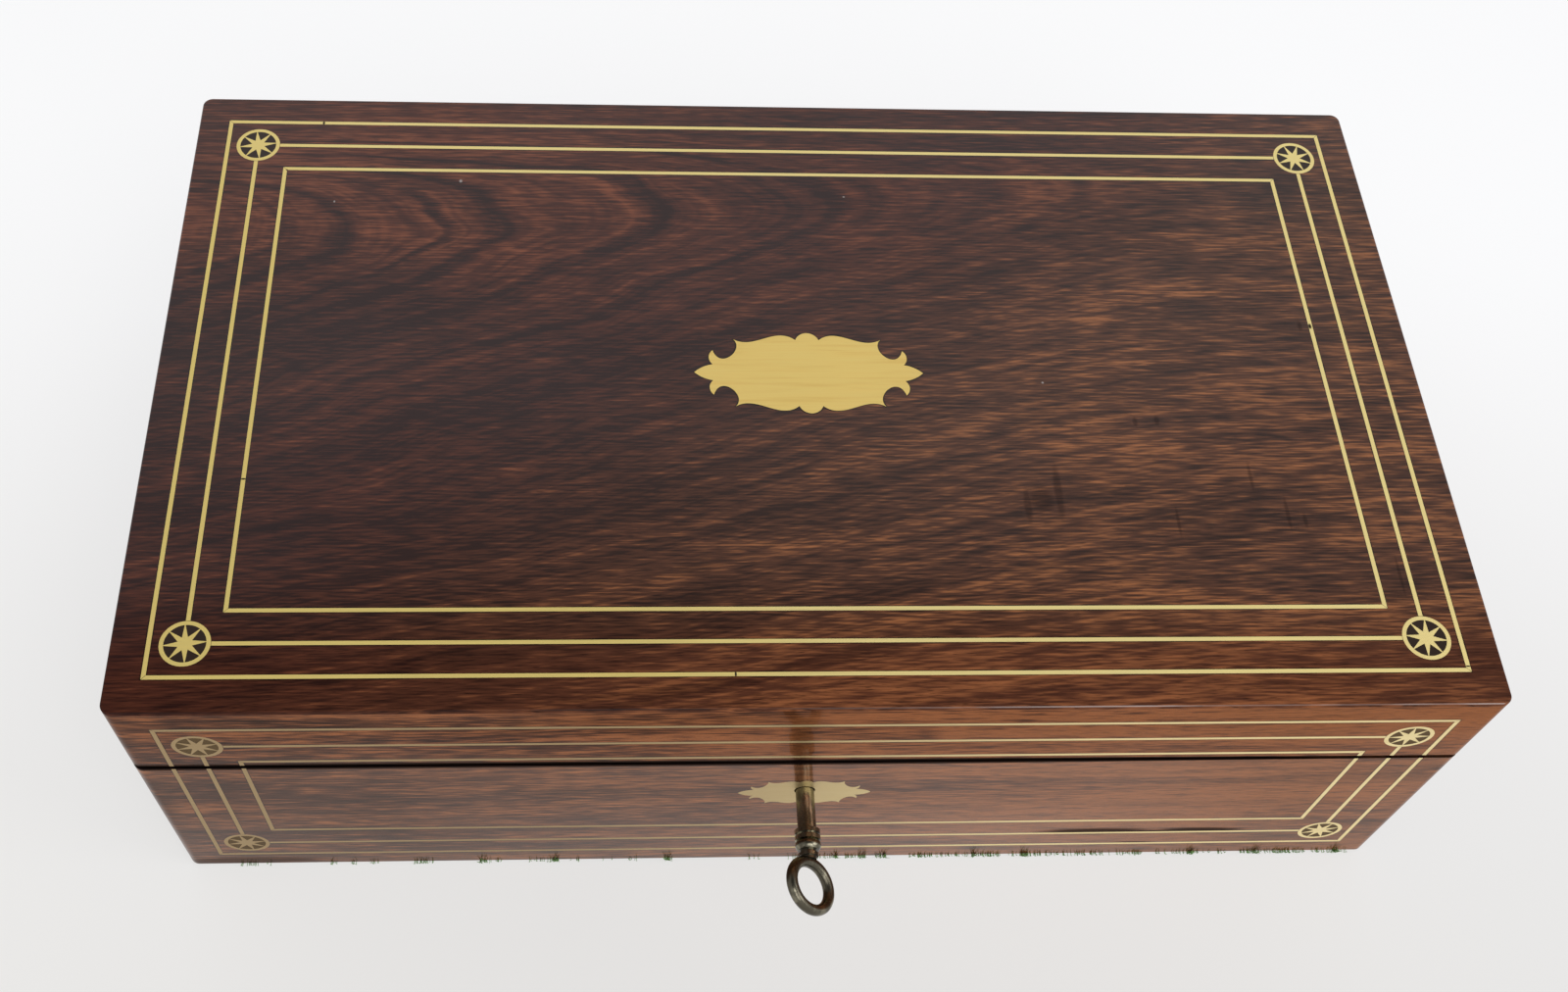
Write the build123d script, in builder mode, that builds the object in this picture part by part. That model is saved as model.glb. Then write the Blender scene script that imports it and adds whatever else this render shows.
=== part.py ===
from build123d import *
import os
from math import cos, radians, sin

os.makedirs("parts", exist_ok=True)

# A writing slope: a base and a lid that meet on a sloping seam and open into one long writing surface.
# X runs along the front, Y from the lock to the hinges, Z up. The origin is the middle of the underside.
# All lengths are in millimetres, all angles in degrees.

# Case, measured outside the veneers
width = 400.0
depth = 233.0
base_front_height = 80.5  # from the table to the middle of the seam at the front
lid_front_height = 37.0  # from there to the top
seam_gap = 2.0
lid_table_gap = 0.5  # under the lid's top when the lid lies right back
hinge_set_out = 0.6  # the hinge line stands this far behind the back face

# Boards and skins
veneer = 1.5
wall = 9.5
top_thickness = 8.0
bottom_thickness = 7.0
baize = 0.8
baize_inset = 1.0
corner_round = 3.2
edge_round = 0.7
corner_limit_share = 3.0  # an upright corner's round is at most this many veneers
edge_limit_share = 0.8  # the round of the top's edges is at most this much of the veneer

# Brass stringing, roundels and plates let into the veneer
inlay_depth = 1.0
string_width = 1.3
mitre_gap = 0.15
top_side_inset = 10.7  # of the outer line from the lid's sides
top_side_band = 20.1  # from the outer to the inner line
top_edge_inset = 11.0  # of the outer line from the lid's front and back
top_edge_band = 21.1
front_inset = 12.0
front_band = 20.3
border_shares = (0.0, 0.5, 1.0)  # of a band, from the outer line inwards
lid_front_line_shares = (0.305, 0.605, 0.897)  # of the lid's height at the front, from the top down
base_front_line_shares = (0.118, 0.242, 0.379)  # of the base's height at the front, from the foot up
roundel_radius = 7.2
roundel_ring = 1.25
roundel_play = 0.1
star_points = 8
star_valley_share = 0.36  # of the ring's inner radius
top_star_turns = (6.0, 37.0, 23.0, 9.0)
front_star_turns = (4.0, 17.0, 11.0, 22.5)
cartouche_length = 72.8
cartouche_breadth = 31.5
cartouche_offset = (2.6, 0.5)  # let in by hand, a little to the right and to the back of the middle
escutcheon_length = 41.5
escutcheon_breadth = 18.0
escutcheon_drop = 1.5  # its middle lies this far under the key

# A quarter of each plate's outline, as shares of its half length and half breadth
cartouche_lobe_shares = ((0.0, 1.0), (0.062, 0.95), (0.103, 0.82))
cartouche_shoulder_shares = ((0.103, 0.82), (0.23, 0.935), (0.51, 0.765), (0.655, 0.84))
cartouche_scoop_shares = ((0.655, 0.84), (0.632, 0.56), (0.728, 0.345), (0.834, 0.555))
cartouche_barb_shares = ((0.834, 0.555), (0.87, 0.37), (0.838, 0.2))
cartouche_leaf_shares = ((0.838, 0.2), (0.93, 0.125), (1.0, 0.0))
escutcheon_lobe_shares = ((0.0, 1.0), (0.06, 0.96), (0.1, 0.86))
escutcheon_shoulder_shares = ((0.1, 0.86), (0.23, 0.95), (0.42, 0.83), (0.57, 0.94))
escutcheon_scoop_shares = ((0.57, 0.94), (0.59, 0.66), (0.69, 0.43), (0.81, 0.55))
escutcheon_barb_shares = ((0.81, 0.55), (0.81, 0.4), (0.77, 0.25))
escutcheon_leaf_shares = ((0.77, 0.25), (0.9, 0.19), (1.0, 0.0))

# Hinges between the base and the lid
hinge_spread = 240.0
hinge_length = 45.0
hinge_leaf_width = 9.5
hinge_leaf = 1.5
hinge_knuckle_radius = 2.6
hinge_pin_radius = 1.25
hinge_knuckles = 5
pin_clearance = 0.05
knuckle_clearance = 0.2
knuckle_play = 0.2

# Countersunk screws
screw_head_radius = 2.2
screw_head_depth = 1.2
screw_radius = 1.1
screw_length = 6.5
screw_tip = 1.2
screw_slot = 0.5
hinge_screw_shares = (-0.34, 0.0, 0.34)  # of the hinge's length
small_screw_share = 0.62  # size of the flap hinges' screws beside the others

# Writing flaps and the rails that carry them
surface_recess = 1.4  # writing surfaces lie this far inside the rims
flap_thickness = 6.5
flap_clearance = 0.5
flap_seat_gap = 0.2
flap_joint = 0.8  # gap between a flap and its rail
flap_bevel = 0.8  # a flap's inner front edge is planed back to clear as it swings
rail_width = 18.0
rail_thickness = 8.0
bearer_width = 6.0
bearer_height = 6.0
flap_border = 13.0
leather = 1.0
flap_hinge_spread = 220.0
flap_hinge_length = 30.0
flap_leaf_width = 8.0
flap_leaf = 1.0
flap_knuckle_radius = 1.6
flap_pin_radius = 0.7
flap_knuckles = 3
flap_screw_shares = (-0.3, 0.3)  # of the flap hinge's length
tab_width = 14.0
tab_length = 20.0
tab_thickness = 0.8
tab_overhang = 8.0
tab_round = 3.0
tab_clearance = 0.3
clip_spread = 120.0
clip_width = 12.0
clip_length = 14.0
clip_thickness = 0.8
clip_play = 0.4
clip_set_in = 1.0

# Pen and ink compartment along the lock side
inkwell_side = 40.0
inkwell_height = 46.0
inkwell_play = 2.0
inkwell_round = 4.0
inkwell_wall = 5.0
inkwell_base = 7.0
inkwell_neck_radius = 11.0
inkwell_neck_height = 7.0
inkwell_mouth_radius = 8.5
inkwell_cap_wall = 2.0
inkwell_cap_top = 3.0
inkwell_cap_round = 1.5
inkwell_cap_play = 0.1
partition = 6.0
partition_rebate = 3.0
divider = 3.0
divider_ledge = 3.0
tray_play = 0.5
tray_height = 22.0
tray_wall = 3.0
tray_floor = 3.0
tray_round = 7.0
tray_drop = 3.0

# Key
key_drop = 22.0  # from the top of the base's front down to the key's axis
shank_radius = 2.9
pipe_radius = 1.5
pipe_depth = 12.5
key_reach = 13.2  # from the front face out to the collar
collar_radius = 3.95
collar_length = 3.3
collar_groove = 0.7
bead_length = 3.1
neck_radius = 2.4
neck_length = 1.0
ring_radius = 3.05
ring_length = 1.0
bow_length = 18.3
bow_breadth = 20.8
bow_tube_radius = 1.75
bow_sink = 0.9  # the neck runs this far into the bow
bow_turn = 45.0  # the bow's upper side leans this far to the left
bit_reach = 6.6
bit_thickness = 2.2
bit_play = 0.4
keyhole_clearance = 0.35

# Lock let into the front from inside, and the hooked plate that it holds
lock_plate = 1.5
lock_cap_wall = 1.0
lock_front_wood = 1.5
lock_ear = 6.0
lock_play = 0.6
lock_foot = 9.0  # from the key's axis down to the inside of the case
drill_pin_clearance = 0.05
drill_pin_set_in = 1.0
bolt_thickness = 2.0
bolt_throw = 7.5
bolt_tail = 3.0
talon_width = 4.0
talon_rise = 3.6
talon_web = 1.9  # of the bolt above the key's bit
bar_web = 2.4
stud_radius = 1.0
stud_clearance = 0.1
hook_spacing = 27.0
hook_post = 3.0
hook_toe = 4.0
hook_toe_height = 2.5
hook_play = 0.6
hook_swing = 1.6  # room behind a hook, which rises on an arc about the hinges
prong_play = 0.3
stem_width = 3.2
stem_play = 0.7
link_margin = 12.0
spring_thickness = 0.6
spring_reach = 15.0
spring_drop = 11.0
spring_gap = 0.1

overrun = 1.0  # how far cuts run past the faces that they open

# Places that follow from the sizes
height = base_front_height + lid_front_height
key_height = base_front_height - key_drop
half_width = width / 2
front_y = -depth / 2
back_y = depth / 2
skin_half_width = half_width - veneer
skin_front = front_y + veneer
skin_back = back_y - veneer
inner_half_width = skin_half_width - wall
inner_front = skin_front + wall
inner_back = skin_back - wall
floor_z = baize + bottom_thickness
top_skin_z = height - veneer
ceiling_z = top_skin_z - top_thickness
corner_radius = min(corner_round, corner_limit_share * veneer)
edge_radius = min(edge_round, edge_limit_share * veneer)

axis_y = back_y + hinge_set_out
axis_z = (height + lid_table_gap) / 2
seam_slope = (base_front_height - axis_z) / (axis_y - front_y)
rim = seam_gap / 2
surface = rim + surface_recess
seam_up = Vector(0, seam_slope, 1).normalized()

BASE = -1
LID = 1


def seam(y):
    """Height of the middle of the seam at the depth y."""
    return axis_z + (axis_y - y) * seam_slope


def slab(side, y_from, y_to, near, far):
    """YZ outline of a strip along the seam, between two distances from it, in the base or the lid."""
    return [
        (y_from, seam(y_from) + side * near),
        (y_to, seam(y_to) + side * near),
        (y_to, seam(y_to) + side * far),
        (y_from, seam(y_from) + side * far),
    ]


def below_seam(y_from, y_to):
    """YZ outline of a base wall from its foot to the rim."""
    return [(y_from, baize), (y_to, baize), (y_to, seam(y_to) - rim), (y_from, seam(y_from) - rim)]


def above_seam(y_from, y_to, top):
    """YZ outline of a lid wall from the rim to the height top."""
    return [(y_from, seam(y_from) + rim), (y_to, seam(y_to) + rim), (y_to, top), (y_from, top)]


def bar(outline, x_from, x_to, mode=Mode.ADD):
    """Adds or cuts a bar along X with a YZ outline in the open part."""
    with BuildSketch(Plane.YZ.offset(x_from)) as section:
        Polygon(*outline)
    extrude(section.sketch, amount=x_to - x_from, mode=mode)


def rod(centre, radius, x_from, x_to, mode=Mode.ADD):
    """Adds or cuts a round rod along X in the open part."""
    with BuildSketch(Plane.YZ.offset(x_from)) as section:
        with Locations(centre):
            Circle(radius)
    extrude(section.sketch, amount=x_to - x_from, mode=mode)


def plate(outline, y_from, y_to, mode=Mode.ADD):
    """Adds or cuts a plate along Y with an XZ outline in the open part."""
    with BuildSketch(Plane(origin=(0, y_to, 0), x_dir=(1, 0, 0), z_dir=(0, -1, 0))) as section:
        Polygon(*outline)
    extrude(section.sketch, amount=y_to - y_from, mode=mode)


def box_outline(x_from, x_to, z_from, z_to):
    """Corners of an upright rectangle."""
    return [(x_from, z_from), (x_to, z_from), (x_to, z_to), (x_from, z_to)]


def keep(part, name):
    """Labels a finished piece and writes it."""
    part.label = name
    export_step(part, f"parts/{name}.step")


# Brass inlay: strips, roundels and plates, sketched flat and sunk into the face

TOP_FACE = Plane.XY.offset(height)
FRONT_FACE = Plane(origin=(0, front_y, 0), x_dir=(1, 0, 0), z_dir=(0, -1, 0))


def strip(start, end, start_mitre, end_mitre, start_back, end_back):
    """Adds a straight strip to the open sketch, with the inside of its run on the left."""
    along = (Vector(*end) - Vector(*start)).normalized()
    left = along.rotate(Axis.Z, 90) * (string_width / 2)
    first = Vector(*start) + along * start_back
    last = Vector(*end) - along * end_back
    lead = along * (start_mitre * string_width / 2)
    trail = along * (end_mitre * string_width / 2)
    Polygon(first + left + lead, first - left - lead, last - left + trail, last + left - trail)


def string_run(corners, closed, mitre, set_back):
    """Adds strips from corner to corner; each end at a corner is mitred or set back for a roundel."""
    count = len(corners) if closed else len(corners) - 1
    for index in range(count):
        at_start = 1 if closed or index > 0 else 0
        at_end = 1 if closed or index < count - 1 else 0
        start = corners[index]
        end = corners[(index + 1) % len(corners)]
        strip(start, end, at_start * mitre, at_end * mitre, at_start * set_back, at_end * set_back)


def string_lines(runs, closed):
    """Adds an outer and an inner mitred line, and the middle line that joins the roundels."""
    outer, middle, inner = runs
    string_run(outer, closed, 1, mitre_gap / 2)
    string_run(middle, closed, 0, roundel_radius + roundel_play)
    string_run(inner, closed, 1, mitre_gap / 2)


def star_outline(turn):
    """Corners of a star whose tips run into the ring round it."""
    tip = roundel_radius - roundel_ring / 2
    valley = star_valley_share * (roundel_radius - roundel_ring)
    step = 180 / star_points
    corners = []
    for index in range(2 * star_points):
        radius = valley if index % 2 else tip
        angle = radians(turn + index * step)
        corners.append((radius * cos(angle), radius * sin(angle)))
    return corners


def roundels(centres, turns):
    """Adds a ring with a star in it at each centre in the open sketch."""
    for centre, turn in zip(centres, turns):
        with Locations(centre):
            Circle(roundel_radius)
            Circle(roundel_radius - roundel_ring, mode=Mode.SUBTRACT)
            Polygon(*star_outline(turn))


def ornament(plane, length, breadth, lobe, shoulder, scoop, barb, leaf):
    """Sketch of a brass plate from a quarter of its outline, given as shares."""

    def place(shares):
        return [(x * length / 2, y * breadth / 2) for x, y in shares]

    with BuildSketch(plane) as outline:
        with BuildLine():
            ThreePointArc(*place(lobe))
            Spline(*place(shoulder))
            Spline(*place(scoop))
            ThreePointArc(*place(barb))
            ThreePointArc(*place(leaf))
            Polyline(place(leaf[-1:])[0], (0, 0), place(lobe[:1])[0])
        make_face()
        mirror(about=Plane.YZ)
        mirror(about=Plane.XZ)
    return outline.sketch


def line_places(edge, inset, band):
    """Places of a border's three lines, from the outer one inwards."""
    return [edge - inset - share * band for share in border_shares]


top_line_xs = line_places(half_width, top_side_inset, top_side_band)
top_line_ys = line_places(depth / 2, top_edge_inset, top_edge_band)
front_line_xs = line_places(half_width, front_inset, front_band)
lid_line_zs = [height - share * lid_front_height for share in lid_front_line_shares]
base_line_zs = [share * base_front_height for share in base_front_line_shares]
lid_line_foot = seam(front_y) + rim
base_line_head = seam(front_y + inlay_depth) - rim

top_runs = [[(-x, -y), (x, -y), (x, y), (-x, y)] for x, y in zip(top_line_xs, top_line_ys)]
lid_runs = [
    [(x, lid_line_foot), (x, z), (-x, z), (-x, lid_line_foot)] for x, z in zip(front_line_xs, lid_line_zs)
]
base_runs = [
    [(-x, base_line_head), (-x, z), (x, z), (x, base_line_head)] for x, z in zip(front_line_xs, base_line_zs)
]

with BuildPart() as lid_top_stringing:
    with BuildSketch(TOP_FACE):
        string_lines(top_runs, closed=True)
    extrude(amount=-inlay_depth)
keep(lid_top_stringing.part, "lid_top_stringing")

with BuildPart() as lid_top_roundels:
    with BuildSketch(TOP_FACE):
        roundels(top_runs[1], top_star_turns)
    extrude(amount=-inlay_depth)
keep(lid_top_roundels.part, "lid_top_roundels")

cartouche_plate = ornament(
    TOP_FACE, cartouche_length, cartouche_breadth, cartouche_lobe_shares, cartouche_shoulder_shares,
    cartouche_scoop_shares, cartouche_barb_shares, cartouche_leaf_shares,
)
with BuildPart() as cartouche:
    extrude(Pos(*cartouche_offset) * cartouche_plate, amount=-inlay_depth)
keep(cartouche.part, "cartouche")

with BuildPart() as lid_front_stringing:
    with BuildSketch(FRONT_FACE):
        string_lines(lid_runs, closed=False)
    extrude(amount=-inlay_depth)
keep(lid_front_stringing.part, "lid_front_stringing")

with BuildPart() as lid_front_roundels:
    with BuildSketch(FRONT_FACE):
        roundels(lid_runs[1][1:3], front_star_turns[:2])
    extrude(amount=-inlay_depth)
keep(lid_front_roundels.part, "lid_front_roundels")

with BuildPart() as base_front_stringing:
    with BuildSketch(FRONT_FACE):
        string_lines(base_runs, closed=False)
    extrude(amount=-inlay_depth)
keep(base_front_stringing.part, "base_front_stringing")

with BuildPart() as base_front_roundels:
    with BuildSketch(FRONT_FACE):
        roundels(base_runs[1][1:3], front_star_turns[2:])
    extrude(amount=-inlay_depth)
keep(base_front_roundels.part, "base_front_roundels")

# Keyhole: a round hole for the shank over a slot for the bit, right through to the lock

lock_plate_y = inner_front - lock_plate
lock_front_y = skin_front + lock_front_wood
cavity_front = lock_front_y + lock_cap_wall

with BuildPart() as keyhole:
    with BuildSketch(FRONT_FACE.offset(overrun)):
        with Locations((0, key_height)):
            Circle(shank_radius + keyhole_clearance)
            Rectangle(
                bit_thickness + 2 * keyhole_clearance,
                bit_reach + keyhole_clearance,
                align=(Align.CENTER, Align.MAX),
            )
    extrude(amount=-(overrun + cavity_front - front_y + lock_play))

with BuildPart() as escutcheon:
    extrude(
        ornament(
            Plane(origin=(0, front_y, key_height - escutcheon_drop), x_dir=(1, 0, 0), z_dir=(0, -1, 0)),
            escutcheon_length, escutcheon_breadth, escutcheon_lobe_shares, escutcheon_shoulder_shares,
            escutcheon_scoop_shares, escutcheon_barb_shares, escutcheon_leaf_shares,
        ),
        amount=-inlay_depth,
    )
    escutcheon_blank = escutcheon.part
    add(keyhole.part, mode=Mode.SUBTRACT)
keep(escutcheon.part, "escutcheon")

# Screws: countersunk, slotted, each with its head flush in its plate


def screw(scale, slotted):
    """One screw with its head's face at the origin and its shank along -Z."""
    with BuildPart() as body:
        with BuildSketch(Plane.XZ) as half_section:
            Polygon(
                (0, 0),
                (scale * screw_head_radius, 0),
                (scale * screw_radius, -scale * screw_head_depth),
                (scale * screw_radius, -scale * (screw_length - screw_tip)),
                (0, -scale * screw_length),
            )
        revolve(half_section.sketch, axis=Axis.Z)
        if slotted:
            with BuildSketch(Plane.XY) as slot:
                Rectangle(2 * screw_head_radius, scale * screw_slot)
            extrude(slot.sketch, amount=-scale * screw_head_depth / 2, mode=Mode.SUBTRACT)
    return body.part


def screw_group(planes, scale, slotted):
    """Screws with their heads on the given planes."""
    one = screw(scale, slotted)
    with BuildPart() as group:
        for plane in planes:
            add(one.moved(plane.location))
    return group.part


# Hinges between base and lid: folded butts let into the rims, with their knuckles behind the back

hinge_xs = (-hinge_spread / 2, hinge_spread / 2)
hinge_axis = (axis_y, axis_z)
hinge_leaf_y = axis_y - hinge_leaf_width


def knuckle_spans(x, length, count):
    """X ranges of the knuckles of one hinge, from left to right."""
    start = x - length / 2
    pitch = length / count
    return [(start + index * pitch, start + (index + 1) * pitch) for index in range(count)]


def knuckles(axis, radius, pin, spans, first):
    """Gives the leaf in the open part its own knuckles, clears the other leaf's and bores for the pin."""
    for index, (x_from, x_to) in enumerate(spans):
        if index % 2 == first:
            rod(axis, radius, x_from + knuckle_play / 2, x_to - knuckle_play / 2)
        else:
            rod(axis, radius + knuckle_clearance, x_from, x_to, Mode.SUBTRACT)
    rod(axis, pin + pin_clearance, spans[0][0], spans[-1][1], Mode.SUBTRACT)


def hinge_screw_planes(side):
    """Faces of the hinge screws' heads on one rim."""
    y = hinge_leaf_y + (hinge_leaf_width - hinge_knuckle_radius) / 2
    z = seam(y) + side * rim
    return [
        Plane(origin=(x + share * hinge_length, y, z), x_dir=(1, 0, 0), z_dir=seam_up * -side)
        for x in hinge_xs
        for share in hinge_screw_shares
    ]


def hinge_leaves(side, first):
    """Both leaves on one rim."""
    with BuildPart() as leaves:
        for x in hinge_xs:
            x_from = x - hinge_length / 2
            bar(slab(side, hinge_leaf_y, axis_y, rim, rim + hinge_leaf), x_from, x_from + hinge_length)
        for x in hinge_xs:
            spans = knuckle_spans(x, hinge_length, hinge_knuckles)
            knuckles(hinge_axis, hinge_knuckle_radius, hinge_pin_radius, spans, first)
        add(screw_group(hinge_screw_planes(side), 1, False), mode=Mode.SUBTRACT)
    return leaves.part


def hinge_room(side):
    """What the hinges on one rim take out of the boards and the veneer behind them."""
    with BuildPart() as room:
        for x in hinge_xs:
            x_from = x - hinge_length / 2
            x_to = x + hinge_length / 2
            bar(slab(side, hinge_leaf_y, axis_y, rim - overrun, rim + hinge_leaf), x_from, x_to)
            rod(
                hinge_axis, hinge_knuckle_radius + knuckle_clearance,
                x_from - knuckle_play, x_to + knuckle_play,
            )
    return room.part


base_hinge_leaves = hinge_leaves(BASE, 0)
keep(base_hinge_leaves, "base_hinge_leaves")
lid_hinge_leaves = hinge_leaves(LID, 1)
keep(lid_hinge_leaves, "lid_hinge_leaves")

with BuildPart() as hinge_pins:
    for hinge_x in hinge_xs:
        rod(hinge_axis, hinge_pin_radius, hinge_x - hinge_length / 2, hinge_x + hinge_length / 2)
keep(hinge_pins.part, "hinge_pins")

# Lock: a plate with a turned-over top, a case in front of it, and a bolt with two hooked prongs

cavity_depth = lock_plate_y - cavity_front
bolt_front = cavity_front + (cavity_depth - bolt_thickness) / 2
bolt_back = bolt_front + bolt_thickness
hook_posts = (-hook_spacing / 2, hook_spacing / 2)
under_selvedge = rim + lock_plate
bar_foot = key_height + talon_rise
talon_head = key_height + bit_reach + bit_play
bar_head = talon_head + talon_web
hook_foot = bar_head + hook_play
prong_foot = hook_foot + hook_toe_height + hook_play
prong_head = (prong_foot + seam(bolt_back) - under_selvedge) / 2
stem_rights = [post - hook_toe - stem_play - bolt_throw for post in hook_posts]
prong_tips = [post - prong_play - bolt_throw for post in hook_posts]
bolt_left = stem_rights[0] - stem_width
bolt_right = prong_tips[1] + bolt_tail
talon_left = -(bolt_throw + talon_width) / 2
stud_x = talon_left - bar_web - stud_radius
stud_z = (bar_foot + bar_head) / 2
cavity_half_width = lock_play - bolt_left
cap_half_width = cavity_half_width + lock_cap_wall
lock_half_width = cap_half_width + lock_ear
cavity_foot = key_height - lock_foot
cap_foot = cavity_foot - lock_cap_wall
lock_screw_x = cap_half_width + lock_ear / 2
lock_screw_zs = (cap_foot + lock_ear / 2, bar_head)

lock_screw_planes = [
    Plane(origin=(x, inner_front, z), x_dir=(1, 0, 0), z_dir=(0, 1, 0))
    for x in (-lock_screw_x, lock_screw_x)
    for z in lock_screw_zs
]


def lock_wall(y_from, y_to, foot):
    """YZ outline from a foot up to the underside of the lock's turned-over top."""
    return [
        (y_from, foot),
        (y_to, foot),
        (y_to, seam(y_to) - under_selvedge),
        (y_from, seam(y_from) - under_selvedge),
    ]


with BuildPart() as lock_plate_blank:
    bar(lock_wall(lock_plate_y, inner_front, cap_foot), -lock_half_width, lock_half_width)
    bar(slab(BASE, lock_front_y, inner_front, rim, under_selvedge), -lock_half_width, lock_half_width)

with BuildPart() as lock_back_plate:
    add(lock_plate_blank.part)
    add(screw_group(lock_screw_planes, 1, False), mode=Mode.SUBTRACT)
    for post in hook_posts:
        plate(
            box_outline(
                post - hook_toe - hook_play, post + hook_post + hook_play,
                bar_head, seam(lock_front_y),
            ),
            bolt_front - hook_play, bolt_back + hook_swing, Mode.SUBTRACT,
        )
keep(lock_back_plate.part, "lock_plate")

with BuildPart() as lock_case_blank:
    bar(lock_wall(lock_front_y, lock_plate_y, cap_foot), -cap_half_width, cap_half_width)

with BuildPart() as lock_case:
    add(lock_case_blank.part)
    bar(
        [
            (cavity_front, cavity_foot),
            (lock_plate_y + overrun, cavity_foot),
            (lock_plate_y + overrun, seam(cavity_front)),
            (cavity_front, seam(cavity_front)),
        ],
        -cavity_half_width, cavity_half_width, Mode.SUBTRACT,
    )
    add(keyhole.part, mode=Mode.SUBTRACT)
keep(lock_case.part, "lock_case")

drill_pin_radius = pipe_radius - drill_pin_clearance
drill_pin_length = lock_plate_y - front_y - drill_pin_set_in
with BuildPart() as lock_pins:
    with BuildSketch(Plane(origin=(0, lock_plate_y, 0), x_dir=(1, 0, 0), z_dir=(0, -1, 0))):
        with Locations((0, key_height)):
            Circle(drill_pin_radius)
    extrude(amount=drill_pin_length)
    with BuildSketch(Plane(origin=(0, lock_plate_y, 0), x_dir=(1, 0, 0), z_dir=(0, -1, 0))):
        with Locations((stud_x, stud_z)):
            Circle(stud_radius)
    extrude(amount=lock_plate_y - bolt_front)
keep(lock_pins.part, "lock_pins")

with BuildPart() as lock_bolt:
    plate(box_outline(bolt_left, bolt_right, bar_foot, bar_head), bolt_front, bolt_back)
    for stem_right, prong_tip in zip(stem_rights, prong_tips):
        stem_left = stem_right - stem_width
        plate(box_outline(stem_left, stem_right, bar_head, prong_head), bolt_front, bolt_back)
        plate(box_outline(stem_left, prong_tip, prong_foot, prong_head), bolt_front, bolt_back)
    plate(
        box_outline(talon_left, talon_left + talon_width, bar_foot - overrun, talon_head),
        bolt_front, bolt_back, Mode.SUBTRACT,
    )
    slot_half_height = stud_radius + stud_clearance
    plate(
        box_outline(
            stud_x - slot_half_height - bolt_throw, stud_x + slot_half_height,
            stud_z - slot_half_height, stud_z + slot_half_height,
        ),
        bolt_front, bolt_back, Mode.SUBTRACT,
    )
keep(lock_bolt.part, "lock_bolt")

with BuildPart() as lock_spring:
    spring_left = -cavity_half_width
    spring_head = bar_foot - spring_gap
    spring_limbs = (
        box_outline(spring_left, spring_left + spring_thickness, spring_head - spring_drop, spring_head),
        box_outline(spring_left, spring_left + spring_reach, spring_head - spring_thickness, spring_head),
    )
    for limb in spring_limbs:
        plate(limb, bolt_front, bolt_back)
keep(lock_spring.part, "lock_spring")

link_half_width = hook_spacing / 2 + link_margin
link_screw_x = link_half_width - link_margin / 4
link_screw_y = (lock_front_y + inner_front) / 2
link_screw_planes = [
    Plane(origin=(x, link_screw_y, seam(link_screw_y) + rim), x_dir=(1, 0, 0), z_dir=seam_up * -1)
    for x in (-link_screw_x, link_screw_x)
]

with BuildPart() as link_blank:
    bar(slab(LID, lock_front_y, inner_front, rim, rim + lock_plate), -link_half_width, link_half_width)

with BuildPart() as link_plate:
    add(link_blank.part)
    add(screw_group(link_screw_planes, 1, False), mode=Mode.SUBTRACT)
    hook_head = seam(bolt_back) + rim + lock_plate / 2
    for post in hook_posts:
        plate(box_outline(post, post + hook_post, hook_foot, hook_head), bolt_front, bolt_back)
        plate(
            box_outline(post - hook_toe, post + hook_post, hook_foot, hook_foot + hook_toe_height),
            bolt_front, bolt_back,
        )
keep(link_plate.part, "link_plate")

# Key: a piped shank with turned collars, a flat bit and an oval bow

key_tip_y = lock_plate_y - bit_play
collar_y = front_y - key_reach
bead_y = collar_y - collar_length
neck_y = bead_y - bead_length
ring_y = neck_y - neck_length
bow_y = ring_y - ring_length
bow_middle_y = bow_y - bow_length / 2
groove_radius = collar_radius - collar_groove
collar_half = (collar_length - collar_groove) / 2

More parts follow.
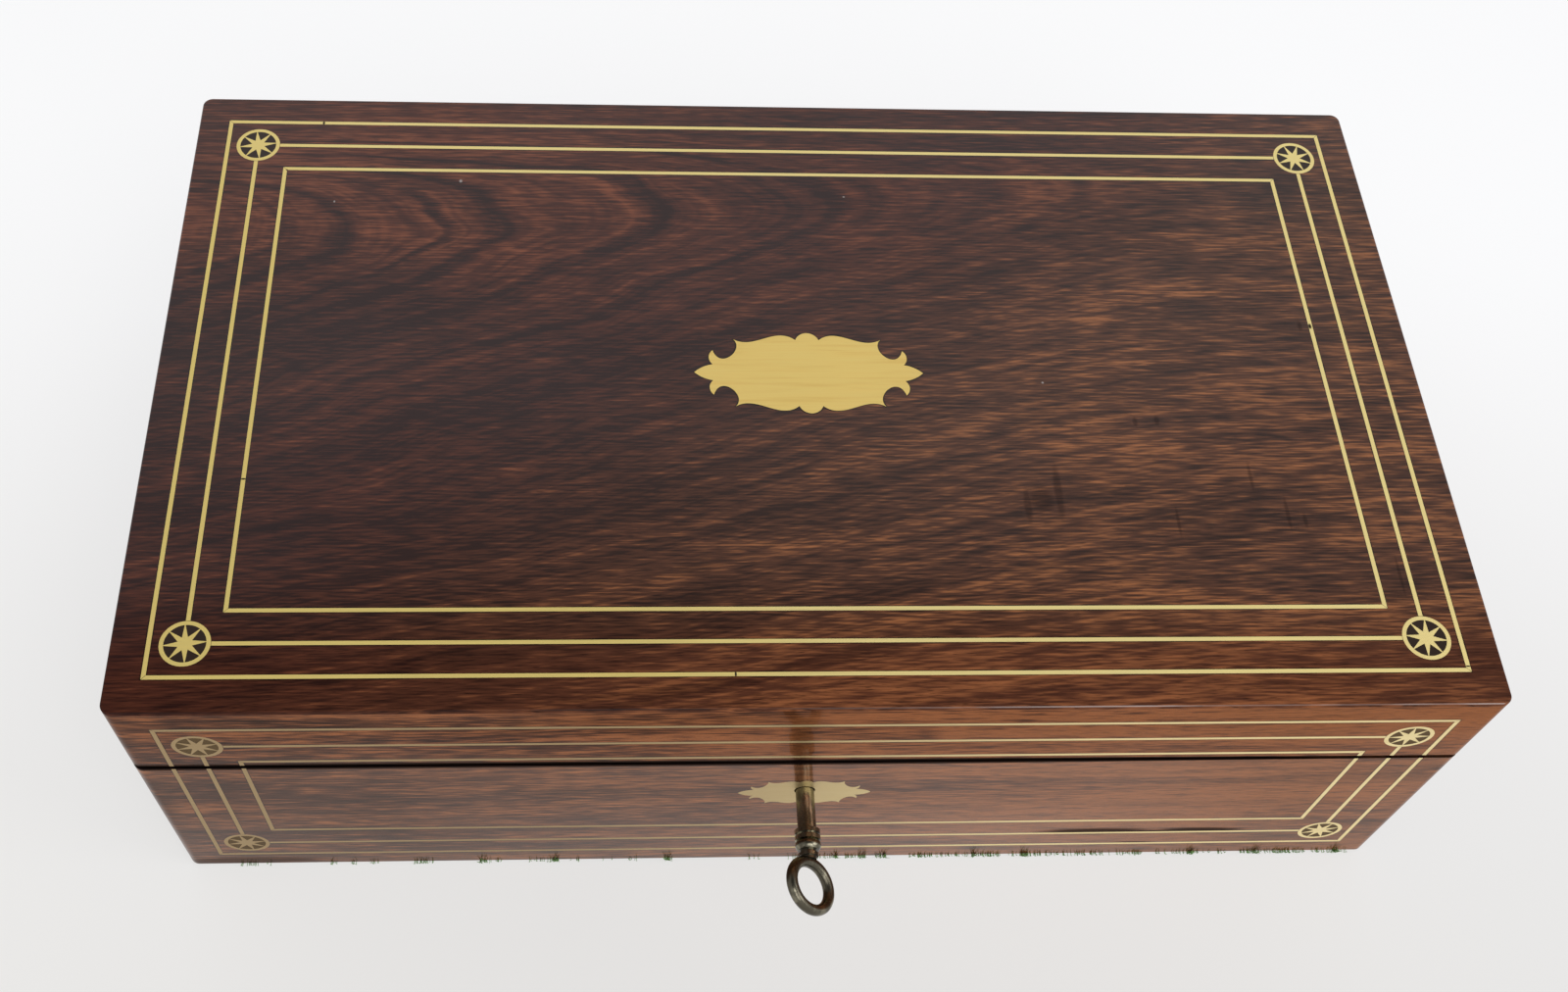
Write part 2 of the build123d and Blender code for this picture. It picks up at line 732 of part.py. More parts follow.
with BuildPart() as key:
    with BuildSketch(Plane(origin=(0, 0, key_height), x_dir=(1, 0, 0), z_dir=(0, 0, 1))):
        with BuildLine():
            Polyline(
                (0, key_tip_y),
                (shank_radius, key_tip_y),
                (shank_radius, collar_y),
                (collar_radius, collar_y),
                (collar_radius, collar_y - collar_half),
                (groove_radius, collar_y - collar_half),
                (groove_radius, collar_y - collar_half - collar_groove),
                (collar_radius, collar_y - collar_half - collar_groove),
                (collar_radius, bead_y),
                (groove_radius, bead_y),
            )
            ThreePointArc(
                (groove_radius, bead_y), (collar_radius, bead_y - bead_length / 2), (groove_radius, neck_y)
            )
            Polyline(
                (groove_radius, neck_y),
                (neck_radius, neck_y),
                (neck_radius, ring_y),
                (ring_radius, ring_y),
                (ring_radius, bow_y),
                (neck_radius, bow_y),
                (neck_radius, bow_y - bow_sink),
                (0, bow_y - bow_sink),
                (0, key_tip_y),
            )
        make_face()
    revolve(axis=Axis((0, 0, key_height), (0, 1, 0)))
    with BuildSketch(Plane(origin=(0, key_tip_y, key_height), x_dir=(1, 0, 0), z_dir=(0, -1, 0))):
        Circle(pipe_radius)
    extrude(amount=pipe_depth, mode=Mode.SUBTRACT)
    bow_lean = Vector(-sin(radians(bow_turn)), 0, cos(radians(bow_turn)))
    bow_plane = Plane(
        origin=(0, bow_middle_y, key_height), x_dir=bow_lean, z_dir=bow_lean.cross(Vector(0, 1, 0))
    )
    with BuildLine(bow_plane) as bow_path:
        EllipticalCenterArc(
            (0, 0), bow_breadth / 2 - bow_tube_radius, bow_length / 2 - bow_tube_radius, arc_size=360
        )
    with BuildSketch(bow_path.line ^ 0):
        Circle(bow_tube_radius)
    sweep(path=bow_path.line)
    bit_side = Vector(0, 0, 1).rotate(Axis.Y, -bow_turn)
    bit_plane = Plane(
        origin=(0, key_tip_y - bit_play, key_height), x_dir=bit_side.cross(Vector(0, 1, 0)), z_dir=(0, -1, 0)
    )
    with BuildSketch(bit_plane):
        with Locations((0, (shank_radius + pipe_radius) / 2)):
            Rectangle(
                bit_thickness,
                bit_reach - (shank_radius + pipe_radius) / 2,
                align=(Align.CENTER, Align.MIN),
            )
    extrude(amount=cavity_depth - 3 * bit_play)
keep(key.part, "key")

# Carcass and veneers of the base

base_hinge_room = hinge_room(BASE)

with BuildPart() as base_front_board:
    bar(below_seam(skin_front, inner_front), -skin_half_width, skin_half_width)
    add(lock_plate_blank.part, mode=Mode.SUBTRACT)
    add(lock_case_blank.part, mode=Mode.SUBTRACT)
    add(keyhole.part, mode=Mode.SUBTRACT)
    add(screw_group(lock_screw_planes, 1, False), mode=Mode.SUBTRACT)
keep(base_front_board.part, "base_front_board")

with BuildPart() as base_back_board:
    bar(below_seam(inner_back, skin_back), -skin_half_width, skin_half_width)
    add(base_hinge_room, mode=Mode.SUBTRACT)
    add(screw_group(hinge_screw_planes(BASE), 1, False), mode=Mode.SUBTRACT)
keep(base_back_board.part, "base_back_board")

with BuildPart() as base_side_boards:
    bar(below_seam(inner_front, inner_back), inner_half_width, skin_half_width)
    mirror(about=Plane.YZ)
keep(base_side_boards.part, "base_side_boards")

with BuildPart() as base_bottom_board:
    bar(
        [(inner_front, baize), (inner_back, baize), (inner_back, floor_z), (inner_front, floor_z)],
        -inner_half_width, inner_half_width,
    )
keep(base_bottom_board.part, "base_bottom_board")

with BuildPart() as bottom_baize:
    with BuildSketch():
        Rectangle(width - 2 * baize_inset, depth - 2 * baize_inset)
    extrude(amount=baize)
keep(bottom_baize.part, "bottom_baize")

# The outside of the whole case, which rounds the corners of the veneers
with BuildPart() as case_form:
    with BuildSketch():
        RectangleRounded(width, depth, corner_radius)
    extrude(amount=height)
    fillet(case_form.faces().sort_by(Axis.Z)[-1].edges(), edge_radius)

with BuildPart() as base_front_veneer:
    bar(below_seam(front_y, skin_front), -half_width, half_width)
    add(case_form.part, mode=Mode.INTERSECT)
    add(base_front_stringing.part, mode=Mode.SUBTRACT)
    add(base_front_roundels.part, mode=Mode.SUBTRACT)
    add(escutcheon_blank, mode=Mode.SUBTRACT)
    add(keyhole.part, mode=Mode.SUBTRACT)
keep(base_front_veneer.part, "base_front_veneer")

with BuildPart() as base_back_veneer:
    bar(below_seam(skin_back, back_y), -half_width, half_width)
    add(case_form.part, mode=Mode.INTERSECT)
    add(base_hinge_room, mode=Mode.SUBTRACT)
keep(base_back_veneer.part, "base_back_veneer")

with BuildPart() as base_side_veneers:
    bar(below_seam(skin_front, skin_back), skin_half_width, half_width)
    mirror(about=Plane.YZ)
    add(case_form.part, mode=Mode.INTERSECT)
keep(base_side_veneers.part, "base_side_veneers")

# Carcass and veneers of the lid

lid_hinge_room = hinge_room(LID)

with BuildPart() as lid_front_board:
    bar(above_seam(skin_front, inner_front, ceiling_z), -skin_half_width, skin_half_width)
    add(link_blank.part, mode=Mode.SUBTRACT)
    add(screw_group(link_screw_planes, 1, False), mode=Mode.SUBTRACT)
keep(lid_front_board.part, "lid_front_board")

with BuildPart() as lid_back_board:
    bar(above_seam(inner_back, skin_back, ceiling_z), -skin_half_width, skin_half_width)
    add(lid_hinge_room, mode=Mode.SUBTRACT)
    add(screw_group(hinge_screw_planes(LID), 1, False), mode=Mode.SUBTRACT)
keep(lid_back_board.part, "lid_back_board")

with BuildPart() as lid_side_boards:
    bar(above_seam(inner_front, inner_back, ceiling_z), inner_half_width, skin_half_width)
    mirror(about=Plane.YZ)
keep(lid_side_boards.part, "lid_side_boards")

with BuildPart() as lid_top_board:
    with BuildSketch(Plane.XY.offset(ceiling_z)):
        Rectangle(2 * skin_half_width, depth - 2 * veneer)
    extrude(amount=top_thickness)
keep(lid_top_board.part, "lid_top_board")

with BuildPart() as lid_top_veneer:
    with BuildSketch(Plane.XY.offset(top_skin_z)):
        Rectangle(width, depth)
    extrude(amount=veneer)
    add(case_form.part, mode=Mode.INTERSECT)
    add(lid_top_stringing.part, mode=Mode.SUBTRACT)
    add(lid_top_roundels.part, mode=Mode.SUBTRACT)
    add(cartouche.part, mode=Mode.SUBTRACT)
keep(lid_top_veneer.part, "lid_top_veneer")

with BuildPart() as lid_front_veneer:
    bar(above_seam(front_y, skin_front, top_skin_z), -half_width, half_width)
    add(case_form.part, mode=Mode.INTERSECT)
    add(lid_front_stringing.part, mode=Mode.SUBTRACT)
    add(lid_front_roundels.part, mode=Mode.SUBTRACT)
keep(lid_front_veneer.part, "lid_front_veneer")

with BuildPart() as lid_back_veneer:
    bar(above_seam(skin_back, back_y, top_skin_z), -half_width, half_width)
    add(case_form.part, mode=Mode.INTERSECT)
    add(lid_hinge_room, mode=Mode.SUBTRACT)
keep(lid_back_veneer.part, "lid_back_veneer")

with BuildPart() as lid_side_veneers:
    bar(above_seam(skin_front, skin_back, top_skin_z), skin_half_width, half_width)
    mirror(about=Plane.YZ)
    add(case_form.part, mode=Mode.INTERSECT)
keep(lid_side_veneers.part, "lid_side_veneers")

# Pen and ink compartment

cell = inkwell_side + 2 * inkwell_play
bay_back = inner_front + cell
step_y = bay_back + partition - partition_rebate
partition_back = bay_back + partition
flap_seat = surface + flap_thickness + flap_seat_gap
partition_top = surface + tab_clearance
cell_x = inner_half_width - cell
tray_head = seam(bay_back) - surface - tray_drop
tray_foot = tray_head - tray_height
tray_half_width = cell_x - divider - tray_play
bay_middle_y = inner_front + cell / 2

with BuildPart() as pen_partition:
    bar(
        [
            (bay_back, floor_z),
            (partition_back, floor_z),
            (partition_back, seam(partition_back) - flap_seat),
            (step_y, seam(step_y) - flap_seat),
            (step_y, seam(step_y) - partition_top),
            (bay_back, seam(bay_back) - partition_top),
        ],
        -inner_half_width, inner_half_width,
    )
keep(pen_partition.part, "pen_partition")

with BuildPart() as inkwell_dividers:
    bar(
        [
            (inner_front, floor_z),
            (bay_back, floor_z),
            (bay_back, seam(bay_back) - partition_top),
            (inner_front, seam(inner_front) - partition_top),
        ],
        cell_x - divider, cell_x,
    )
    bar(
        [(inner_front, floor_z), (bay_back, floor_z), (bay_back, tray_foot), (inner_front, tray_foot)],
        cell_x - divider - divider_ledge, cell_x,
    )
    mirror(about=Plane.YZ)
keep(inkwell_dividers.part, "inkwell_dividers")

with BuildPart() as pen_tray:
    with BuildSketch(Plane.XY.offset(tray_foot)):
        with Locations((0, bay_middle_y)):
            Rectangle(2 * tray_half_width, cell - 2 * tray_play)
    extrude(amount=tray_height)
    with BuildSketch(Plane.XY.offset(tray_foot + tray_floor)):
        with Locations((0, bay_middle_y)):
            Rectangle(2 * (tray_half_width - tray_wall), cell - 2 * (tray_play + tray_wall))
    extrude(amount=tray_height, mode=Mode.SUBTRACT)
    trough_floor = pen_tray.faces().filter_by(Axis.Z).sort_by(Axis.Z)[1]
    fillet(trough_floor.edges(), tray_round)
keep(pen_tray.part, "pen_tray")

inkwell_places = [(x, bay_middle_y) for x in (-(cell_x + cell / 2), cell_x + cell / 2)]
inkwell_shoulder = floor_z + inkwell_height
inkwell_mouth = inkwell_shoulder + inkwell_neck_height

with BuildPart() as inkwell_bottles:
    with BuildSketch(Plane.XY.offset(floor_z)):
        with Locations(*inkwell_places):
            RectangleRounded(inkwell_side, inkwell_side, inkwell_round)
    extrude(amount=inkwell_height)
    fillet(inkwell_bottles.faces().sort_by(Axis.Z)[-2:].edges(), inkwell_round / 2)
    with BuildSketch(Plane.XY.offset(inkwell_shoulder)):
        with Locations(*inkwell_places):
            Circle(inkwell_neck_radius)
    extrude(amount=inkwell_neck_height)
    with BuildSketch(Plane.XY.offset(floor_z + inkwell_base)):
        with Locations(*inkwell_places):
            Circle(inkwell_side / 2 - inkwell_wall)
    extrude(amount=inkwell_height - inkwell_base - inkwell_wall, mode=Mode.SUBTRACT)
    with BuildSketch(Plane.XY.offset(inkwell_mouth)):
        with Locations(*inkwell_places):
            Circle(inkwell_mouth_radius)
    extrude(amount=-(inkwell_neck_height + 2 * inkwell_wall), mode=Mode.SUBTRACT)
keep(inkwell_bottles.part, "inkwell_bottles")

with BuildPart() as inkwell_caps:
    cap_outer = inkwell_neck_radius + inkwell_cap_play + inkwell_cap_wall
    with BuildSketch(Plane.XY.offset(inkwell_shoulder)):
        with Locations(*inkwell_places):
            Circle(cap_outer)
    extrude(amount=inkwell_neck_height + inkwell_cap_top)
    fillet(inkwell_caps.faces().sort_by(Axis.Z)[-2:].edges(), inkwell_cap_round)
    with BuildSketch(Plane.XY.offset(inkwell_shoulder)):
        with Locations(*inkwell_places):
            Circle(inkwell_neck_radius + inkwell_cap_play)
    extrude(amount=inkwell_neck_height, mode=Mode.SUBTRACT)
keep(inkwell_caps.part, "inkwell_caps")

# Writing flaps: one over the base, one over the lid, each hinged on a rail beside the main hinges

rail_front = inner_back - rail_width
flap_axis_y = rail_front - flap_joint / 2
flap_back = flap_axis_y - flap_joint / 2
flap_half_width = inner_half_width - flap_clearance
flap_hinge_xs = (-flap_hinge_spread / 2, flap_hinge_spread / 2)
flap_fronts = {BASE: step_y + flap_clearance, LID: inner_front + clip_thickness + clip_play}
bearer_fronts = {BASE: partition_back, LID: inner_front}


def flap_axis(side):
    """YZ point of a flap's hinge line, on the writing surface."""
    return (flap_axis_y, seam(flap_axis_y) + side * surface)


def flap_screw_planes(side, y):
    """Faces of the screw heads on the flap hinges' leaves."""
    return [
        Plane(
            origin=(x + share * flap_hinge_length, y, seam(y) + side * surface),
            x_dir=(1, 0, 0),
            z_dir=seam_up * -side,
        )
        for x in flap_hinge_xs
        for share in flap_screw_shares
    ]


flap_screw_reach = flap_joint / 2 + (flap_leaf_width + flap_knuckle_radius) / 2
rail_screw_y = flap_axis_y + flap_screw_reach
flap_screw_y = flap_axis_y - flap_screw_reach


def flap_leaves(side, y_from, y_to, first, screw_y):
    """Both hinge leaves on a flap or on its rail."""
    with BuildPart() as leaves:
        for x in flap_hinge_xs:
            x_from = x - flap_hinge_length / 2
            bar(slab(side, y_from, y_to, surface, surface + flap_leaf), x_from, x_from + flap_hinge_length)
        for x in flap_hinge_xs:
            spans = knuckle_spans(x, flap_hinge_length, flap_knuckles)
            knuckles(flap_axis(side), flap_knuckle_radius, flap_pin_radius, spans, first)
        add(screw_group(flap_screw_planes(side, screw_y), small_screw_share, False), mode=Mode.SUBTRACT)
    return leaves.part


def cut_flap_hinges(side, y_from, y_to, screw_y):
    """Lets the leaves, knuckles and screws of a flap's hinges into the open part."""
    for x in flap_hinge_xs:
        x_from = x - flap_hinge_length / 2
        x_to = x + flap_hinge_length / 2
        bar(slab(side, y_from, y_to, surface - overrun, surface + flap_leaf), x_from, x_to, Mode.SUBTRACT)
        rod(
            flap_axis(side), flap_knuckle_radius + knuckle_clearance,
            x_from - knuckle_play, x_to + knuckle_play, Mode.SUBTRACT,
        )
    add(screw_group(flap_screw_planes(side, screw_y), small_screw_share, False), mode=Mode.SUBTRACT)


def hinge_rail(side):
    """The fixed rail along the back that carries a flap."""
    with BuildPart() as rail:
        bar(
            slab(side, rail_front, inner_back, surface, surface + rail_thickness),
            -inner_half_width, inner_half_width,
        )
        cut_flap_hinges(side, flap_axis_y, flap_axis_y + flap_leaf_width, rail_screw_y)
    return rail.part


def flap_board(side):
    """A writing board with a sunk panel for its leather."""
    front = flap_fronts[side]
    with BuildPart() as panel:
        corners = slab(side, front, flap_back, surface, surface + flap_thickness)
        corners[-1] = (front + flap_bevel, corners[-1][1])
        bar(corners, -flap_half_width, flap_half_width)
        bar(
            slab(side, front + flap_border, flap_back - flap_border, surface - overrun, surface + leather),
            flap_border - flap_half_width, flap_half_width - flap_border, Mode.SUBTRACT,
        )
        cut_flap_hinges(side, flap_axis_y - flap_leaf_width, flap_axis_y, flap_screw_y)
    return panel.part


def flap_leather(side):
    """The leather laid in a writing board."""
    with BuildPart() as skin:
        bar(
            slab(
                side, flap_fronts[side] + flap_border, flap_back - flap_border, surface, surface + leather
            ),
            flap_border - flap_half_width, flap_half_width - flap_border,
        )
    return skin.part


def pull_tab(side, y_from):
    """The leather tab that lifts a flap, glued on its border."""
    with BuildPart() as tab:
        bar(
            slab(side, y_from, y_from + tab_length, surface - tab_thickness, surface),
            -tab_width / 2, tab_width / 2,
        )
        fillet(tab.edges().filter_by(Axis.Z).group_by(Axis.Y)[0], tab_round)
    return tab.part


def flap_bearers(side):
    """Strips on the side walls that a flap shuts against."""
    with BuildPart() as bearers:
        bar(
            slab(side, bearer_fronts[side], rail_front, flap_seat, flap_seat + bearer_height),
            inner_half_width - bearer_width, inner_half_width,
        )
        mirror(about=Plane.YZ)
    return bearers.part


def flap_pins(side):
    """Pins of a flap's hinges."""
    with BuildPart() as pins:
        for x in flap_hinge_xs:
            rod(flap_axis(side), flap_pin_radius, x - flap_hinge_length / 2, x + flap_hinge_length / 2)
    return pins.part


for side, name in ((BASE, "base"), (LID, "lid")):
    keep(hinge_rail(side), f"{name}_flap_rail")
    keep(flap_bearers(side), f"{name}_flap_bearers")
    rail_leaves = flap_leaves(side, flap_axis_y, flap_axis_y + flap_leaf_width, 0, rail_screw_y)
    keep(rail_leaves, f"{name}_rail_leaves")
    keep(flap_pins(side), f"{name}_flap_pins")
    keep(flap_board(side), f"{name}_flap_board")
    keep(flap_leather(side), f"{name}_flap_leather")
    board_leaves = flap_leaves(side, flap_axis_y - flap_leaf_width, flap_axis_y, 1, flap_screw_y)
    keep(board_leaves, f"{name}_flap_leaves")
    keep(screw_group(flap_screw_planes(side, flap_screw_y), small_screw_share, True), f"{name}_flap_screws")

keep(pull_tab(BASE, flap_fronts[BASE] - tab_overhang), "base_flap_tab")
keep(pull_tab(LID, flap_fronts[LID] + tab_clearance), "lid_flap_tab")

with BuildPart() as lid_flap_clips:
    for clip_x in (-clip_spread / 2, clip_spread / 2):
        bar(
            slab(
                LID, inner_front, inner_front + clip_thickness,
                surface + clip_set_in, surface + clip_length,
            ),
            clip_x - clip_width / 2, clip_x + clip_width / 2,
        )
keep(lid_flap_clips.part, "lid_flap_clips")

with BuildPart() as base_screws:
    add(screw_group(hinge_screw_planes(BASE), 1, True))
    add(screw_group(lock_screw_planes, 1, True))
    add(screw_group(flap_screw_planes(BASE, rail_screw_y), small_screw_share, True))
keep(base_screws.part, "base_screws")

with BuildPart() as lid_screws:
    add(screw_group(hinge_screw_planes(LID), 1, True))
    add(screw_group(link_screw_planes, 1, True))
    add(screw_group(flap_screw_planes(LID, rail_screw_y), small_screw_share, True))
keep(lid_screws.part, "lid_screws")
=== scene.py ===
# %% [markdown]
# # A rosewood writing slope
# The object is a writing box: a base and a lid that meet on a sloping seam, veneered in rosewood and let in
# with brass. Its solids come from a CAD model, so the first step loads them as a fixed frame and keeps
# their box. Shapes are in metres in that frame: X along the front, Y to the hinges, Z up.

# %% Load the frame
import random
from math import radians

import bmesh
import bpy
from mathutils import Matrix, Vector, noise


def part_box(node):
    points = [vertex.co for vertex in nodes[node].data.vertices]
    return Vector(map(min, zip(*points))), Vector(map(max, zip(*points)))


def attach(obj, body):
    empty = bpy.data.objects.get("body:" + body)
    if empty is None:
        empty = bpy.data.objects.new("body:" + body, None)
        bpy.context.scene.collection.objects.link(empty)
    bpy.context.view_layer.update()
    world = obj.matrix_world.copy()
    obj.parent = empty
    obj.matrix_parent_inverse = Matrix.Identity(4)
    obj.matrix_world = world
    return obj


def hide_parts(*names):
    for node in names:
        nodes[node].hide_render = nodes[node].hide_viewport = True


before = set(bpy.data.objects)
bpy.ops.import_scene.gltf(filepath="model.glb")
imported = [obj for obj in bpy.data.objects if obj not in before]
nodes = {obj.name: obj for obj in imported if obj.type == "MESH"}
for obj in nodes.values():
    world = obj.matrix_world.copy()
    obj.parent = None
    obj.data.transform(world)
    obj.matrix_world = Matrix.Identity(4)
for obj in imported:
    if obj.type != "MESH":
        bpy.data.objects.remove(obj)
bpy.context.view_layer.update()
scene = bpy.context.scene
scene.view_settings.view_transform = "Standard"

# %% [markdown]
# The camera stands where the photograph was taken from: above the front, a little to the left, looking down
# on the lid. It could be placed by eye, but a fit of the case's corners gives the place, the turn and the
# lens at once. The small shift moves the picture on the sensor, as a crop does, and leaves the perspective
# alone.

# %% Camera
camera_data = bpy.data.cameras.new("photo_camera")
camera_data.sensor_fit = "HORIZONTAL"
camera_data.lens = 38.885
camera_data.shift_x = 0.0396
camera_data.shift_y = 0.0272
camera = bpy.data.objects.new("photo_camera", camera_data)
camera.location = (-0.0574, -0.3192, 0.5474)
camera.rotation_euler = (radians(31.064), radians(-2.943), radians(-1.836))
scene.collection.objects.link(camera)
scene.camera = camera
print("camera", camera_data.lens, "mm")

# %% [markdown]
# Shader trees are easier to read as sums than as lists of nodes and links. These small helpers add one node
# each: a value that is a socket is linked, and any other value is set. All the finishes below are written
# with them.

# %% Helpers for shader nodes
def wire(tree, value, socket):
    """Links a socket to an input, or sets a plain value on it."""
    if isinstance(value, bpy.types.NodeSocket):
        tree.links.new(value, socket)
    else:
        socket.default_value = value


def add(tree, kind, inputs=None, **settings):
    """Adds a shader node with its settings and its inputs, given by name or number."""
    node = tree.nodes.new("ShaderNode" + kind)
    for name, value in settings.items():
        setattr(node, name, value)
    for name, value in (inputs or {}).items():
        wire(tree, value, node.inputs[name])
    return node


def reckon(tree, operation, *values, clamp=False):
    """One step of arithmetic on numbers."""
    return add(tree, "Math", dict(enumerate(values)), operation=operation, use_clamp=clamp).outputs[0]


def rise(tree, value, start, end, low=0.0, high=1.0):
    """A smooth step from low to high as the value goes from start to end."""
    inputs = {"Value": value, "From Min": start, "From Max": end, "To Min": low, "To Max": high}
    return add(tree, "MapRange", inputs, interpolation_type="SMOOTHSTEP").outputs["Result"]


def blend(tree, amount, first, second, mode="MIX"):
    """Mixes two colours."""
    node = add(tree, "Mix", {0: amount, 6: first, 7: second}, data_type="RGBA", blend_type=mode)
    return node.outputs[2]


def split(tree, vector):
    """The three numbers of a vector."""
    return add(tree, "SeparateXYZ", {0: vector}).outputs


def gather(tree, x, y, z):
    """A vector of three numbers."""
    return add(tree, "CombineXYZ", {0: x, 1: y, 2: z}).outputs[0]


# %% [markdown]
# Each finish is a material with Blender's Principled shader. Places in it are read from Object coordinates,
# which stay with a piece when it moves. Times a thousand they are millimetres, so that the sizes in a
# finish are the sizes on the real wood and brass.

# %% Helpers for materials
def new_material(name, constants):
    """A material with a Principled BSDF whose plain values are set: its tree and that shader."""
    material = bpy.data.materials.new(name)
    material.use_nodes = True
    surface = material.node_tree.nodes["Principled BSDF"]
    for socket, value in constants.items():
        surface.inputs[socket].default_value = value
    return material, material.node_tree, surface


def millimetres(tree):
    """Object coordinates in millimetres."""
    place = add(tree, "TexCoord").outputs["Object"]
    return add(tree, "VectorMath", {0: place, "Scale": 1000.0}, operation="SCALE").outputs[0]


# %% [markdown]
# The box was photographed on a white sheet, in light so soft that it has almost no shadow. The floor is
# that sheet: one plain grid, far larger than the picture. A floor that only takes light would need strong
# lamps to come out white, so what is seen directly or in the polish is mostly a plain glow, and only the
# rest of it takes the shadow.

# %% Floor
FLOOR_HALF = 4.0
FRONT_WHITE = (0.778, 0.77, 0.757, 1)
BACK_WHITE = (0.953, 0.954, 0.959, 1)
FAR_WHITE = (0.95, 0.95, 0.95, 1)
RIGHT_PAINTED_SHADE = (0.985, 0.985, 0.987, 1)
LEFT_PAINTED_LIGHT = (1.04, 1.038, 1.032, 1)
GLOW_SHARE = 0.68
GLOW_STRENGTH = 1.06

floor_mesh = bpy.data.meshes.new("floor")
shape = bmesh.new()
bmesh.ops.create_grid(shape, x_segments=2, y_segments=2, size=FLOOR_HALF)
shape.to_mesh(floor_mesh)
shape.free()
floor = bpy.data.objects.new("floor", floor_mesh)
scene.collection.objects.link(floor)
floor_finish, tree, surface = new_material("floor_sheet", {"Roughness": 0.9, "Specular IOR Level": 0.1})
place = millimetres(tree)
x, y = split(tree, place)[:2]
# The sheet is painted darker towards the front and at the right, and lighter at the left: painted shade and
# light of the room, which the lamps alone do not give.
pale = blend(tree, rise(tree, y, -230.0, 190.0), FRONT_WHITE, BACK_WHITE)
pale = blend(tree, rise(tree, x, 150.0, 420.0), pale, RIGHT_PAINTED_SHADE, "MULTIPLY")
to_left = reckon(tree, "MULTIPLY_ADD", y, 0.6, x)
pale = blend(tree, rise(tree, to_left, -120.0, -400.0), pale, LEFT_PAINTED_LIGHT, "MULTIPLY")
away = add(tree, "VectorMath", {0: place}, operation="LENGTH").outputs["Value"]
far = rise(tree, away, 1200.0, 2600.0)
pale = blend(tree, far, pale, FAR_WHITE)
wire(tree, pale, surface.inputs["Base Color"])
path = add(tree, "LightPath").outputs
seen = reckon(tree, "MAXIMUM", path["Is Camera Ray"], path["Is Glossy Ray"])
seen = reckon(tree, "MAXIMUM", seen, path["Is Transmission Ray"])
glow = add(tree, "Emission", {"Color": pale, "Strength": GLOW_STRENGTH}).outputs[0]
glowing = reckon(tree, "MULTIPLY_ADD", far, 1.0 - GLOW_SHARE, GLOW_SHARE)
shares = {0: reckon(tree, "MULTIPLY", seen, glowing), 1: surface.outputs[0], 2: glow}
wire(tree, add(tree, "MixShader", shares).outputs[0], tree.nodes["Material Output"].inputs["Surface"])
floor_mesh.materials.append(floor_finish)
print("floor", 2 * FLOOR_HALF, "m wide")

# %% [markdown]
# The world stands for the room: pale all round and dark overhead, because the lid mirrors the part of the
# room above its back edge and shows it as a veil that fades to the front. Two large square lamps, from the
# front and from the right, give the soft main light. A picture of a room would do it too, but three colours
# by height are enough here.

# %% World and lamps
ROOM_LOW = (1.0, 1.0, 1.0, 1)
ROOM_HIGH = (0.72, 0.73, 0.75, 1)
ROOM_OVERHEAD = (0.15, 0.15, 0.16, 1)

world = bpy.data.worlds.new("studio")
scene.world = world
world.use_nodes = True
tree = world.node_tree
up = split(tree, add(tree, "TexCoord").outputs["Generated"])[2]
room = blend(tree, rise(tree, up, 0.0, 0.8), ROOM_LOW, ROOM_HIGH)
room = blend(tree, rise(tree, up, 0.81, 0.925), room, ROOM_OVERHEAD)
wire(tree, room, tree.nodes["Background"].inputs["Color"])


def lamp(name, place, target, size, power):
    """A square soft lamp aimed at a point."""
    data = bpy.data.lights.new(name, "AREA")
    data.size = size
    data.energy = power
    lamp_object = bpy.data.objects.new(name, data)
    lamp_object.location = place
    lamp_object.rotation_euler = (Vector(target) - Vector(place)).to_track_quat("-Z", "Y").to_euler()
    scene.collection.objects.link(lamp_object)


lamp("front_lamp", place=(0.35, -1.3, 1.7), target=(0, 0, 0.05), size=1.3, power=15.0)
lamp("right_lamp", place=(1.5, -0.5, 1.0), target=(0.1, 0, 0.05), size=0.9, power=7.0)
print("lamps", len(bpy.data.lights))

# %% [markdown]
# Wood, brass and cloth vary in soft spots that are long one way and short the others. A noise texture gives
# them when its coordinates are divided by those lengths, and a seed moves each one to a part of the noise
# of its own. What several finishes share is a node group: it is built once, and its sockets have names.

# %% Noise and node groups
FLOAT, COLOR, VECTOR = "NodeSocketFloat", "NodeSocketColor", "NodeSocketVector"
SEED_STEP = (3.7, 11.3, 5.9)


def mottle(tree, place, lengths, detail=2.0, seed=0.0):
    """Soft noise whose spots have these lengths along the three directions."""
    scale = tuple(1 / length for length in lengths)
    offset = tuple(step * seed for step in SEED_STEP)
    inputs = {0: place, 1: scale, 2: offset}
    moved = add(tree, "VectorMath", inputs, operation="MULTIPLY_ADD").outputs[0]
    return add(tree, "TexNoise", {"Vector": moved, "Scale": 1.0, "Detail": detail}).outputs[0]


def sway(tree, place, lengths, reach, detail=2.0, seed=0.0):
    """The same noise about zero, stretched to a reach."""
    return reckon(tree, "MULTIPLY_ADD", mottle(tree, place, lengths, detail, seed), reach, -reach / 2)


def new_group(name, inputs, outputs):
    """A shader node group with named sockets: its tree, what it is given and what it makes."""
    tree = bpy.data.node_groups.new(name, "ShaderNodeTree")
    for socket, kind in inputs.items():
        tree.interface.new_socket(socket, in_out="INPUT", socket_type=kind)
    for socket, kind in outputs.items():
        tree.interface.new_socket(socket, in_out="OUTPUT", socket_type=kind)
    return tree, tree.nodes.new("NodeGroupInput").outputs, tree.nodes.new("NodeGroupOutput").inputs


def use(tree, group, inputs):
    """Places a node group in a tree and returns its outputs."""
    node = tree.nodes.new("ShaderNodeGroup")
    node.node_tree = group
    for name, value in inputs.items():
        wire(tree, value, node.inputs[name])
    return node.outputs


